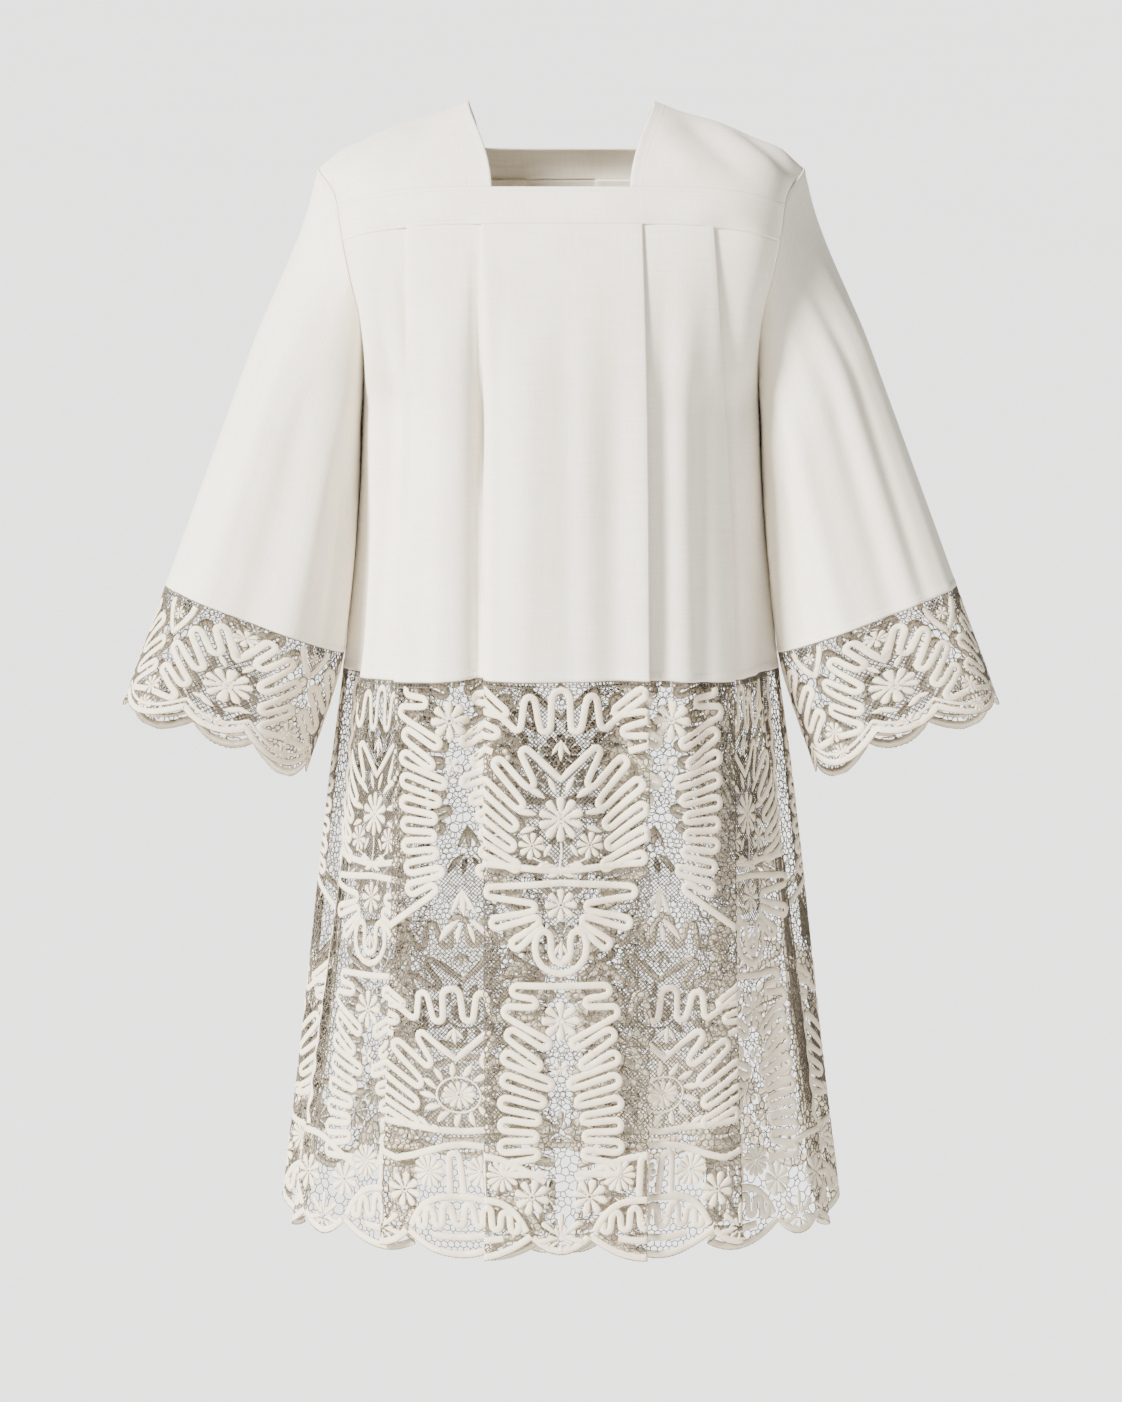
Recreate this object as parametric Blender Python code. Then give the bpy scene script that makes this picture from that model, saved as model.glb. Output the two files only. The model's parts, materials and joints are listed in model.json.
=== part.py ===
"""A surplice as it hangs when worn, hollow, with nobody in it.

Metres. x runs to the wearer's left, y to the back and z up. The origin lies on the centre
plane, level with the tops of the shoulders beside the neck. Every piece of cloth is a wall
around one sheet: the sheet is worked out from the tables below, and both of its faces lie
half a thickness away from it.
"""

from collections import namedtuple
from functools import lru_cache
from math import pi

import bmesh
import bpy
import numpy as np
from mathutils import Vector
from mathutils.geometry import delaunay_2d_cdt

CLOTH = 0.0012  # thickness of the cotton and of the lace
SEAM_GAP = 0.0003  # left between two pieces along a flat seam
BAND_GAP = 0.0006  # between a band and what it joins above and below
SIDE_GAP = 0.0005  # between front and back at the side seams
SHOULDER_GAP = 0.0014  # from the armhole's edge sideways to the sleeve, at the shoulder
UNDERARM_GAP = 0.0018  # the same at the underarm, where both hang side by side

FRONT_BAND_TOP = -0.0715
FRONT_SEAM = -0.1040  # lower edge of the chest band, where the pleats start
BACK_BAND_TOP = -0.0500
BACK_SEAM = -0.0820
UNDERARM = -0.2850
LACE_TOP = -0.5260
LACE_DEPTH = 0.5460  # from the lace seam down to the lowest points of the hem

SQUARENESS = 2.6  # exponent of the body's outline; 2 would be an ellipse
DROOP_POWER = 5  # keeps the fall of a seam close to the armhole

# The body's outline at one height: half its width, how far the row falls at its ends, and
# how far its ends and its middle lie in front of and behind the centre of the shoulders.
BodyRow = namedtuple("BodyRow", "z half_width droop front_end front_mid back_end back_mid")
BODY = (
    BodyRow(-0.0500, 0.2120, 0.0290, 0.036, 0.097, 0.046, 0.086),
    BodyRow(-0.0715, 0.2088, 0.0200, 0.048, 0.114, 0.058, 0.104),
    BodyRow(-0.1040, 0.2028, 0.0210, 0.066, 0.132, 0.068, 0.117),
    BodyRow(-0.1450, 0.1952, 0.0160, 0.074, 0.144, 0.073, 0.125),
    BodyRow(-0.1900, 0.1868, 0.0090, 0.069, 0.151, 0.069, 0.130),
    BodyRow(-0.2400, 0.1838, 0.0030, 0.047, 0.155, 0.047, 0.133),
    BodyRow(-0.2850, 0.1870, 0.0000, 0.000, 0.157, 0.000, 0.135),
    BodyRow(-0.3500, 0.1895, 0.0000, 0.000, 0.159, 0.000, 0.137),
    BodyRow(-0.4690, 0.2010, 0.0000, 0.000, 0.162, 0.000, 0.142),
    BodyRow(-0.5400, 0.2095, 0.0000, 0.000, 0.165, 0.000, 0.147),
    BodyRow(-0.6400, 0.2230, 0.0000, 0.000, 0.170, 0.000, 0.153),
    BodyRow(-0.7400, 0.2345, 0.0000, 0.000, 0.175, 0.000, 0.160),
    BodyRow(-0.8200, 0.2430, 0.0000, 0.000, 0.181, 0.000, 0.167),
    BodyRow(-0.9100, 0.2530, 0.0000, 0.000, 0.188, 0.000, 0.175),
    BodyRow(-1.0760, 0.2735, 0.0000, 0.000, 0.201, 0.000, 0.191),
)

# The top of the shoulder, from beside the neck out to the sleeve.
RidgeRow = namedtuple("RidgeRow", "x z")
RIDGE = (
    RidgeRow(0.0870, 0.0000),
    RidgeRow(0.1300, -0.0148),
    RidgeRow(0.1784, -0.0316),
    RidgeRow(0.2039, -0.0440),
    RidgeRow(0.2275, -0.0625),
)
FRONT_NECK_CORNER = 0.0645
BACK_NECK_CORNER = 0.0780

# Each pleat folds under at its edge, runs back by its tuck and comes forward again below.
# Edges are distances from the centre plane.
PleatRow = namedtuple("PleatRow", "z right_box right_outer left_box left_outer box_tuck outer_tuck")
FRONT_PLEATS = (
    PleatRow(-0.104, 0.0731, 0.1428, 0.0745, 0.1415, 0.040, 0.026),
    PleatRow(-0.310, 0.0732, 0.1522, 0.0806, 0.1583, 0.045, 0.033),
    PleatRow(-0.526, 0.0730, 0.1612, 0.0827, 0.1686, 0.050, 0.040),
    PleatRow(-0.800, 0.0726, 0.1661, 0.0840, 0.1710, 0.060, 0.038),
    PleatRow(-1.076, 0.0718, 0.1766, 0.0812, 0.1776, 0.070, 0.036),
)
BACK_PLEATS = (
    PleatRow(-0.082, 0.0740, 0.1400, 0.0740, 0.1400, 0.040, 0.026),
    PleatRow(-0.310, 0.0760, 0.1560, 0.0760, 0.1560, 0.045, 0.033),
    PleatRow(-0.526, 0.0770, 0.1640, 0.0770, 0.1640, 0.050, 0.040),
    PleatRow(-0.800, 0.0775, 0.1690, 0.0775, 0.1690, 0.060, 0.038),
    PleatRow(-1.076, 0.0780, 0.1770, 0.0780, 0.1770, 0.070, 0.036),
)

# Radius of the turn at a pleat's edge, and the soft hollows in the body's side.
FoldRow = namedtuple("FoldRow", "z turn_radius hollow side_hollow")
FOLDS = (
    FoldRow(-0.082, 0.0015, 0.000, 0.000),
    FoldRow(-0.285, 0.0016, 0.000, 0.000),
    FoldRow(-0.526, 0.0019, 0.014, 0.004),
    FoldRow(-0.800, 0.0022, 0.020, 0.008),
    FoldRow(-1.076, 0.0025, 0.022, 0.010),
)
HOLLOW_FROM_SIDE = 0.060  # distance of the hollow's middle from the side seam
HOLLOW_REACH = 0.034
SIDE_HOLLOW_REACH = 0.026

# One ring of the sleeve: its highest and lowest point, its middle and half depth front to
# back, and how much higher a point lies for each unit that it lies further forward.
SleeveRow = namedtuple("SleeveRow", "t outer_x outer_z inner_x inner_z mid_y half_depth lift")
SLEEVE = (
    SleeveRow(0.00, 0.2285, -0.0640, 0.1885, -0.2850, 0.000, 0.075, 0.00),
    SleeveRow(0.15, 0.2510, -0.1240, 0.1925, -0.3270, -0.004, 0.079, 0.01),
    SleeveRow(0.50, 0.3015, -0.2600, 0.1985, -0.4050, -0.014, 0.075, 0.04),
    SleeveRow(1.00, 0.3735, -0.4550, 0.2105, -0.5190, -0.030, 0.069, 0.09),
    SleeveRow(1.31, 0.4174, -0.5752, 0.2437, -0.6402, -0.040, 0.070, 0.30),
)
SLEEVE_SQUARENESS = 2.3
SLEEVE_BLEND = 0.42  # part of the sleeve over which the armhole's shape fades out
CUFF_TOP = 1.0
CUFF_END = 1.31

# The lace repeats with its hem: one narrow and one wide scallop.
REPEAT = 0.160
NARROW_SCALLOP = 0.055
NARROW_DROP = 0.015
WIDE_DROP = 0.022
QUARTER_REPEATS = 4  # repeats from the centre to the side seam
MOTIF_SPACING = 8 / 3  # repeats between two medallions of one tier
CUFF_REPEATS = 4
CUFF_NARROW_SHARE = 0.36
CUFF_NARROW_DROP = 0.028  # in units of the sleeve's t
CUFF_WIDE_DROP = 0.045

# The openwork ground: columns of large holes between the medallions, in metres down from
# the lace seam. A flower takes the place of the holes in the middle of two of the rows.
UPPER_GROUND = 0.060
LOWER_GROUND = 0.336
CUFF_GROUND = 0.026
GROUND_STEP = 0.0172
GROUND_SPREAD = 0.0135
GROUND_ROWS = 9
FLOWER_ROWS = (2, 6)
FLOWER_CLEAR = 0.0190
CUFF_GROUND_ROWS = 3
HOLE_RADIUS = 0.0050

COTTON = (0.86, 0.85, 0.82)
LACE = (0.78, 0.74, 0.68)


@lru_cache(maxsize=None)
def knots(table, column):
    """The places, values and tangents that a column of a table gives its smooth curve."""
    rows = sorted(table, key=lambda row: row[0])
    x = np.array([row[0] for row in rows])
    y = np.array([getattr(row, column) for row in rows])
    step = np.diff(x)
    slope = np.diff(y) / step
    tangent = np.zeros(len(x))
    tangent[0], tangent[-1] = slope[0], slope[-1]
    same_way = slope[:-1] * slope[1:] > 0
    mean = 2 * slope[:-1] * slope[1:] / np.where(same_way, slope[:-1] + slope[1:], 1.0)
    tangent[1:-1] = np.where(same_way, mean, 0.0)
    return x, y, step, tangent


def smooth(table, column, at):
    """A column of a table as a smooth curve of its first column, with no overshoot."""
    x, y, step, tangent = knots(table, column)
    at = np.clip(np.asarray(at, float), x[0], x[-1])
    i = np.clip(np.searchsorted(x, at) - 1, 0, len(step) - 1)
    t = (at - x[i]) / step[i]
    rise = y[i] * (1 + 2 * t) * (1 - t) ** 2 + y[i + 1] * t * t * (3 - 2 * t)
    return rise + step[i] * t * (1 - t) * (tangent[i] * (1 - t) - tangent[i + 1] * t)


def fade(t):
    """0 below 0, 1 above 1, and a soft step between."""
    t = np.clip(t, 0.0, 1.0)
    return t * t * (3 - 2 * t)


# ---- body ----------------------------------------------------------------------------

Outline = namedtuple("Outline", "length x y normal_x normal_y droop")
Path = namedtuple("Path", "u along inward turns outline")


def quarter_outline(z, front, samples=240):
    """The body's outline from the centre plane to the side, with both axes positive."""
    half_width = smooth(BODY, "half_width", z)
    end = smooth(BODY, "front_end" if front else "back_end", z)
    middle = smooth(BODY, "front_mid" if front else "back_mid", z)
    angle = np.linspace(0.0, pi / 2, samples)
    x = half_width * np.sin(angle) ** (2 / SQUARENESS)
    y = end + (middle - end) * np.maximum(np.cos(angle), 0.0) ** (2 / SQUARENESS)
    length = np.concatenate([[0.0], np.cumsum(np.hypot(np.diff(x), np.diff(y)))])
    even = np.linspace(0.0, length[-1], samples)
    x, y = np.interp(even, length, x), np.interp(even, length, y)
    tangent_x, tangent_y = np.gradient(x, even), np.gradient(y, even)
    size = np.hypot(tangent_x, tangent_y)
    droop = smooth(BODY, "droop", z) * (x / half_width) ** DROOP_POWER
    return Outline(even, x, y, tangent_y / size, -tangent_x / size, droop)


@lru_cache(maxsize=256)
def quarter_path(z, front, right):
    """The pleated cloth along one quarter of a row: distances along the outline and inward."""
    outline = quarter_outline(z, front)
    pleats = FRONT_PLEATS if front else BACK_PLEATS
    side = "right" if right else "left"
    radius = float(smooth(FOLDS, "turn_radius", z))
    bend = np.linspace(0.0, pi, 13)
    along, inward, turns = [0.0], [0.0], []
    depth = 0.0
    for pleat in ("box", "outer"):
        edge_x = smooth(pleats, f"{side}_{pleat}", z)
        edge = float(np.interp(edge_x, outline.x, outline.length))
        tuck = float(smooth(pleats, f"{pleat}_tuck", z))
        for centre, way in ((edge - radius, 1), (edge - tuck + radius, -1)):
            turns.append(len(along))
            along += list(centre + way * radius * np.sin(bend))
            inward += list(depth + radius * (1 - np.cos(bend)))
            depth += 2 * radius
    whole = outline.length[-1]
    rest = np.linspace(along[-1], whole, 90)[1:]
    back_to_outline = depth * (1 - fade((rest - edge) / (0.62 * (whole - edge))))
    from_hollow = np.abs(rest - (whole - HOLLOW_FROM_SIDE)) / HOLLOW_REACH
    hollow = smooth(FOLDS, "hollow", z) * (1 - fade(from_hollow))
    from_side = (whole - rest) / SIDE_HOLLOW_REACH
    side_hollow = smooth(FOLDS, "side_hollow", z) * (1 - fade(from_side))
    along = np.concatenate([along, rest])
    inward = np.concatenate([inward, back_to_outline + hollow + side_hollow])
    u = np.concatenate([[0.0], np.cumsum(np.hypot(np.diff(along), np.diff(inward)))])
    turn_ends = [(u[i], u[i + len(bend) - 1]) for i in turns]
    return Path(u, along, inward, turn_ends, outline)


def body_point(path, u, z, front, right):
    """The point of the pleated sheet at a length u from the centre, on the row at height z."""
    along = np.interp(u, path.u, path.along)
    inward = np.interp(u, path.u, path.inward)
    line = path.outline
    x, y, normal_x, normal_y, droop = (np.interp(along, line.length, column) for column in line[1:])
    x = x + inward * normal_x
    y = y + inward * normal_y
    return np.array([-x if right else x, -y if front else y, z - droop])


STRIP_SHARES = (0.27, 0.50, 0.70, 0.86)
SIDE_SHARES = (0.12, 0.25, 0.40, 0.53, 0.66, 0.79, 0.90)


def column_lengths(path):
    """Where one quarter's columns stand: dense round each turn, sparse between."""
    (box_in, box_out), (under_in, under_out), (outer_in, outer_out), (last_in, last_out) = path.turns
    thirds = np.linspace(0.0, 1.0, 4)
    columns = [0.0, 0.5 * box_in]
    columns += list(box_in + (box_out - box_in) * thirds)
    columns += [0.5 * (box_out + under_in)]
    columns += list(under_in + (under_out - under_in) * thirds)
    columns += [under_out + (outer_in - under_out) * share for share in STRIP_SHARES]
    columns += list(outer_in + (outer_out - outer_in) * thirds)
    columns += [0.5 * (outer_out + last_in)]
    columns += list(last_in + (last_out - last_in) * thirds)
    columns += [last_out + (path.u[-1] - last_out) * share for share in SIDE_SHARES]
    columns += [path.u[-1] - SIDE_GAP / 2]
    return np.array(columns)


# ---- flat cloth into walls -------------------------------------------------------------


def material(name, colour, roughness):
    made = bpy.data.materials.new(name)
    made.use_nodes = True
    shader = made.node_tree.nodes["Principled BSDF"]
    shader.inputs["Base Color"].default_value = (*colour, 1.0)
    shader.inputs["Roughness"].default_value = roughness
    shader.inputs["Metallic"].default_value = 0.0
    return made


def add_wall(name, points, normals, triangles, colour, roughness):
    """A closed wall of even thickness round a triangulated sheet, as a named object."""
    half = CLOTH / 2
    count = len(points)
    vertices = np.concatenate([points + normals * half, points - normals * half])
    used = {}
    for a, b, c in triangles:
        for edge in ((a, b), (b, c), (c, a)):
            used[edge] = True
    faces = [tuple(t) for t in triangles]
    faces += [(c + count, b + count, a + count) for a, b, c in triangles]
    for a, b in used:
        if (b, a) not in used:
            faces.append((b, a, a + count))
            faces.append((b, a + count, b + count))
    mesh = bpy.data.meshes.new(name)
    mesh.from_pydata(vertices.tolist(), [], faces)
    built = bmesh.new()
    built.from_mesh(mesh)
    loose = [vertex for vertex in built.verts if not vertex.link_faces]
    bmesh.ops.delete(built, geom=loose, context="VERTS")
    if built.calc_volume(signed=True) < 0:
        bmesh.ops.reverse_faces(built, faces=built.faces)
    built.to_mesh(mesh)
    built.free()
    mesh.materials.append(material(f"{name}_finish", colour, roughness))
    mesh.shade_smooth()
    mesh.set_sharp_from_angle(angle=pi / 4)
    piece = bpy.data.objects.new(name, mesh)
    bpy.context.collection.objects.link(piece)
    return piece


def grid_triangles(rows, columns, closed=False):
    """Triangles of a grid whose points are stored row by row."""
    triangles = []
    for row in range(rows - 1):
        for column in range(columns if closed else columns - 1):
            beside = (column + 1) % columns
            a, b = row * columns + column, row * columns + beside
            c, d = a + columns, b + columns
            triangles += [(a, b, c), (b, d, c)]
    return triangles


def sheet_normals(places, surface, step_across, step_down):
    """Unit normals of a surface at pairs of across and down."""
    normals = []
    for across, down in places:
        sideways = surface(across + step_across, down) - surface(across - step_across, down)
        downward = surface(across, down + step_down) - surface(across, down - step_down)
        normal = np.cross(sideways, downward)
        normals.append(normal / np.linalg.norm(normal))
    return np.array(normals)


def add_grid(name, rows, surface, steps, closed=False):
    """A wall over rows of places on a surface, each row as long as the next."""
    places = [place for row in rows for place in row]
    points = np.array([surface(*place) for place in places])
    normals = sheet_normals(places, surface, *steps)
    triangles = grid_triangles(len(rows), len(rows[0]), closed)
    return add_wall(name, points, normals, triangles, COTTON, 0.85)


# ---- cotton pieces ---------------------------------------------------------------------

BODY_ROWS = [-0.145, -0.190, -0.240, UNDERARM, -0.395]
SHOULDER_ACROSS = np.array([0.0, 0.2, 0.38, 0.54, 0.68, 0.80, 0.90, 1.0])
SHOULDER_ALONG = (-1.0, -0.75, -0.5, -0.25, 0.0, 0.25, 0.5, 0.75, 1.0)
RIDGE_FALL = 0.22  # slope of the shoulder where it leaves its ridge


def plain_point(z, share, front):
    """A point of the unpleated outline, at a share of the way from the centre to its end."""
    line = quarter_outline(z, front)
    at = min(abs(share), 1.0) * line.length[-1]
    x, y, droop = (np.interp(at, line.length, values) for values in (line.x, line.y, line.droop))
    return np.array([np.copysign(x, share), -y if front else y, z - droop])


def add_band(name, top, bottom, neck_corner, front):
    """The straight band across the chest or the back, from armhole to armhole."""
    from_neck = neck_share(top, neck_corner, front)
    above = [0.0, from_neck / 2, *(from_neck + (1 - from_neck) * SHOULDER_ACROSS)]
    upper = [*(-share for share in above[:0:-1]), *above]
    lower = [*(-share for share in band_shares(bottom, front, True)[:0:-1])]
    lower += band_shares(bottom, front, False)
    middle = [0.5 * (over + under) for over, under in zip(upper, lower)]
    rows = [[(share, top) for share in upper]]
    rows += [[(share, 0.5 * (top + bottom)) for share in middle]]
    rows += [[(share, bottom + BAND_GAP) for share in lower]]
    add_grid(name, rows, lambda share, z: plain_point(z, share, front), (0.001, 0.0005))


def band_shares(seam, front, right):
    """Shares along one half of a band's lower edge that meet the columns of the cloth below."""
    path = quarter_path(float(seam), front, right)
    whole = path.outline.length[-1]
    edge = float(np.interp(path.turns[0][0], path.u, path.along)) / whole
    last = path.turns[-1][1]
    ends = [last + (path.u[-1] - last) * share for share in SIDE_SHARES[4:]]
    ends = [float(np.interp(u, path.u, path.along)) / whole for u in ends]
    between = np.linspace(edge, ends[0], 5)[1:-1]
    return [0.0, edge / 2, edge, *between, *ends, 1.0]


def neck_share(z, corner, front):
    """The share of the way along the outline at which it passes the neck's corner."""
    line = quarter_outline(z, front)
    return float(np.interp(corner, line.x, line.length) / line.length[-1])


def shoulder_point(across, along, right):
    """The shoulder from the neck's edge (0) to the armhole (1); along is -1 at the front band,
    0 on the ridge and 1 at the back band."""
    front = along < 0
    top = FRONT_BAND_TOP if front else BACK_BAND_TOP
    corner = FRONT_NECK_CORNER if front else BACK_NECK_CORNER
    ridge_x = RIDGE[0].x + (RIDGE[-1].x - RIDGE[0].x) * across
    start = np.array([ridge_x, 0.0, float(smooth(RIDGE, "z", ridge_x))])
    from_share = neck_share(top, corner, front)
    share = from_share + (1 - from_share) * across
    end = plain_point(top, share, front)
    below = plain_point(top - 0.004, share, front)
    reach = np.linalg.norm(end - start)
    leave = np.array([0.0, -1.0 if front else 1.0, -RIDGE_FALL]) * reach
    arrive = (below - end) / np.linalg.norm(below - end) * reach
    t = min(abs(along), 1.0 - BAND_GAP / reach)
    point = start * (1 + 2 * t) * (1 - t) ** 2 + end * t * t * (3 - 2 * t)
    point = point + t * (1 - t) * (leave * (1 - t) - arrive * t)
    return point * np.array([-1.0 if right else 1.0, 1.0, 1.0])


def add_shoulder(name, right):
    """One piece over the shoulder, from the front band to the back band."""
    rows = [[(across, along) for across in SHOULDER_ACROSS] for along in SHOULDER_ALONG]
    add_grid(name, rows, lambda across, along: shoulder_point(across, along, right), (0.004, 0.015))


def pleated_point(signed_u, z, front):
    """The pleated cloth at a length from the centre, negative to the wearer's right."""
    right = signed_u < 0
    path = quarter_path(float(z), front, right)
    return body_point(path, min(abs(signed_u), path.u[-1] - SIDE_GAP / 2), z, front, right)


def pleated_row(z, front):
    """The columns of one row of the body's cloth, from side seam to side seam."""
    right_half = column_lengths(quarter_path(float(z), front, True))
    left_half = column_lengths(quarter_path(float(z), front, False))
    return [(u, z) for u in (*-right_half[::-1], *left_half[1:])]


def add_body(name, seam, front):
    """The pleated cotton between the band, the armholes, the side seams and the lace."""
    heights = [seam, *BODY_ROWS, LACE_TOP + SEAM_GAP]
    rows = [pleated_row(z, front) for z in heights]
    add_grid(name, rows, lambda u, z: pleated_point(u, z, front), (0.0002, 0.0008))


# ---- sleeves ---------------------------------------------------------------------------


def armhole_half(front):
    """Points along the armhole from the top of the shoulder to the underarm."""
    seam, top = (FRONT_SEAM, FRONT_BAND_TOP) if front else (BACK_SEAM, BACK_BAND_TOP)
    way = [along for along in SHOULDER_ALONG if along >= 0]
    points = [shoulder_point(1.0, -along if front else along, False) for along in way]
    heights = (0.5 * (top + seam), seam, *[z for z in BODY_ROWS if z >= UNDERARM])
    points += [plain_point(z, 1.0, front) for z in heights]
    return np.array(points)


def armhole():
    """The closed armhole on the wearer's left, and each point's share of the way round."""
    front, back = armhole_half(True), armhole_half(False)
    shares = []
    for half, start in ((front, 0.0), (back, 1.0)):
        steps = np.linalg.norm(np.diff(half, axis=0), axis=1)
        run = np.concatenate([[0.0], np.cumsum(steps)]) / steps.sum() / 2
        shares.append(start + (run if start == 0.0 else -run))
    points = np.concatenate([front, back[-2:0:-1]])
    return points, np.concatenate([shares[0], shares[1][-2:0:-1]])


def sleeve_ring(t, share):
    """Where the plain sleeve has its point, a share of the way round from its upper edge."""
    outer = np.array([smooth(SLEEVE, column, t) for column in ("outer_x", "mid_y", "outer_z")])
    inner = np.array([smooth(SLEEVE, column, t) for column in ("inner_x", "mid_y", "inner_z")])
    angle = 2 * pi * share
    power = 2 / SLEEVE_SQUARENESS
    across = np.sign(np.cos(angle)) * np.abs(np.cos(angle)) ** power
    forward = np.sign(np.sin(angle)) * np.abs(np.sin(angle)) ** power
    depth = smooth(SLEEVE, "half_depth", t) * forward
    lift = smooth(SLEEVE, "lift", t) * depth
    return 0.5 * (outer + inner) + 0.5 * (outer - inner) * across + np.array([0.0, -depth, lift])


def sleeve_point(t, share, start, right):
    """A point of the sleeve: the armhole's own shape at first, and plain rings further down."""
    moved = start + sleeve_centre(t) - sleeve_centre(0.0)
    blend = fade(t / SLEEVE_BLEND)
    point = moved * (1 - blend) + sleeve_ring(t, share) * blend
    point[0] += SHOULDER_GAP + (UNDERARM_GAP - SHOULDER_GAP) * 0.5 * (1 - np.cos(2 * pi * share))
    return point * np.array([-1.0 if right else 1.0, 1.0, 1.0])


def sleeve_centre(t):
    """The middle of the sleeve's ring at t."""
    x = 0.5 * (smooth(SLEEVE, "outer_x", t) + smooth(SLEEVE, "inner_x", t))
    z = 0.5 * (smooth(SLEEVE, "outer_z", t) + smooth(SLEEVE, "inner_z", t))
    return np.array([float(x), float(smooth(SLEEVE, "mid_y", t)), float(z)])


SLEEVE_ROWS = (0.0, 0.07, 0.17, 0.32, 0.52, 0.76, CUFF_TOP - 0.0010)


def add_sleeve(name, right):
    """The wide sleeve of cotton, from the armhole to the lace cuff."""
    edge, shares = armhole()
    order = np.argsort(shares)
    known = np.concatenate([shares[order] - 1, shares[order], shares[order] + 1])

    def surface(share, t):
        start = np.array([np.interp(share, known, np.tile(edge[order, axis], 3)) for axis in range(3)])
        return sleeve_point(t, share, start, right)

    rows = [[(share, t) for share in shares] for t in SLEEVE_ROWS]
    add_grid(name, rows, surface, (0.004, 0.004), closed=True)


# ---- lace ------------------------------------------------------------------------------


def scallop_drop(repeats, narrow_share, narrow_drop, wide_drop):
    """How far below its notches the hem hangs, at a place counted in repeats."""
    place = np.abs((repeats + 0.5) % 1.0 - 0.5)
    narrow = place < narrow_share / 2
    across_narrow = place / (narrow_share / 2)
    across_wide = (0.5 - place) / (0.5 - narrow_share / 2)
    return np.where(narrow, narrow_drop * (1 - across_narrow**2), wide_drop * (1 - across_wide**2))


def hem_places(first, last, narrow_share):
    """Places along a scalloped hem where its outline needs a point, in repeats."""
    places = []
    for repeat in range(int(np.floor(first)) - 1, int(np.ceil(last)) + 2):
        narrow = repeat + narrow_share / 2 * np.linspace(-1.0, 1.0, 5)[:-1]
        wide = repeat + 0.5 + (0.5 - narrow_share / 2) * np.linspace(-1.0, 1.0, 6)[:-1]
        places += [*narrow, *wide]
    clear = 0.004
    return [place for place in sorted(places) if first + clear < place < last - clear]


def hole_outline(x, y, radius, corners=5):
    """The corners of one hole in the ground."""
    angle = 2 * pi * (np.arange(corners) + 0.25) / corners
    return [(x + radius * np.cos(a), y + radius * np.sin(a)) for a in angle]


def ground_holes(middle, top, rows, flowers):
    """Centres of the large holes in one column of the ground."""
    centres = []
    for row in range(rows):
        y = top + row * GROUND_STEP
        offsets = (-1.0, 0.0, 1.0) if row % 2 == 0 else (-1.5, -0.5, 0.5, 1.5)
        for offset in offsets:
            x = middle + offset * GROUND_SPREAD
            gaps = [np.hypot(x - middle, y - top - flower * GROUND_STEP) for flower in flowers]
            if not gaps or min(gaps) > FLOWER_CLEAR:
                centres.append((x, y))
    return centres


def cut_sheet(outline, inner_points, inner_edges, holes):
    """Triangles of a flat outline with holes; every given point and edge stays in the net.

    Edges count through the outline's points first and the inner points after them.
    """
    points = [Vector(p) for p in (*outline, *inner_points)]
    edges = [(i, (i + 1) % len(outline)) for i in range(len(outline))]
    edges += inner_edges
    for hole in holes:
        start = len(points)
        points += [Vector(p) for p in hole]
        edges += [(start + i, start + (i + 1) % len(hole)) for i in range(len(hole))]
    result = delaunay_2d_cdt(points, edges, [], 0, 1e-7)
    flat = np.array([tuple(p) for p in result[0]])
    border = np.array(outline)
    kept = []
    for a, b, c in result[2]:
        middle = (flat[a] + flat[b] + flat[c]) / 3
        if inside(middle, border) and not any(inside(middle, np.array(hole)) for hole in near(holes, middle)):
            kept.append((a, b, c))
    return flat, kept


def near(holes, place, reach=0.03):
    """The holes whose first corner lies close to a place."""
    return [hole for hole in holes if np.hypot(hole[0][0] - place[0], hole[0][1] - place[1]) < reach]


def inside(place, border):
    """True if a place lies within a closed border."""
    x, y = place
    x1, y1 = border[:, 0], border[:, 1]
    x2, y2 = np.roll(x1, -1), np.roll(y1, -1)
    crosses = (y1 > y) != (y2 > y)
    height = np.where(crosses, y2 - y1, 1.0)
    return bool(np.sum(crosses & (x < (x2 - x1) * (y - y1) / height + x1)) % 2)


def lace_scale(path):
    """Where one quarter's lace leaves its even scale: behind the last turn it is eased in."""
    return path.turns[-1][1], path.turns[-1][1] / REPEAT


def length_to_repeats(path, u):
    """Turns a length along the cloth into repeats of the lace."""
    even_u, even_repeats = lace_scale(path)
    return np.interp(u, [0.0, even_u, path.u[-1]], [0.0, even_repeats, QUARTER_REPEATS])


def repeats_to_length(path, repeats):
    """Turns repeats of the lace into a length along the cloth."""
    even_u, even_repeats = lace_scale(path)
    return np.interp(repeats, [0.0, even_repeats, QUARTER_REPEATS], [0.0, even_u, path.u[-1]])


LACE_ROWS = (0.0, 0.100, 0.200, 0.300, 0.405, 0.505)
FLAT_STEP = 0.0003


def skirt_hem(repeats):
    """How far down the lace reaches, at a place counted in repeats."""
    drop = scallop_drop(repeats, NARROW_SCALLOP / REPEAT, NARROW_DROP, WIDE_DROP)
    return LACE_DEPTH - WIDE_DROP + drop


def skirt_point(x, down, front):
    """The lace skirt's sheet at flat place x, in metres of the even repeat, and down."""
    z = LACE_TOP - down
    right = x < 0
    path = quarter_path(float(z), front, right)
    u = float(repeats_to_length(path, abs(x) / REPEAT))
    return body_point(path, min(u, path.u[-1] - SIDE_GAP / 2), z, front, right)


def skirt_columns(down, front):
    """Flat places of one row's columns, from side seam to side seam."""
    places = []
    for right in (True, False):
        path = quarter_path(float(LACE_TOP - down), front, right)
        flat = length_to_repeats(path, column_lengths(path)) * REPEAT
        places += list(-flat[::-1]) if right else list(flat[1:])
    return places


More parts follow.
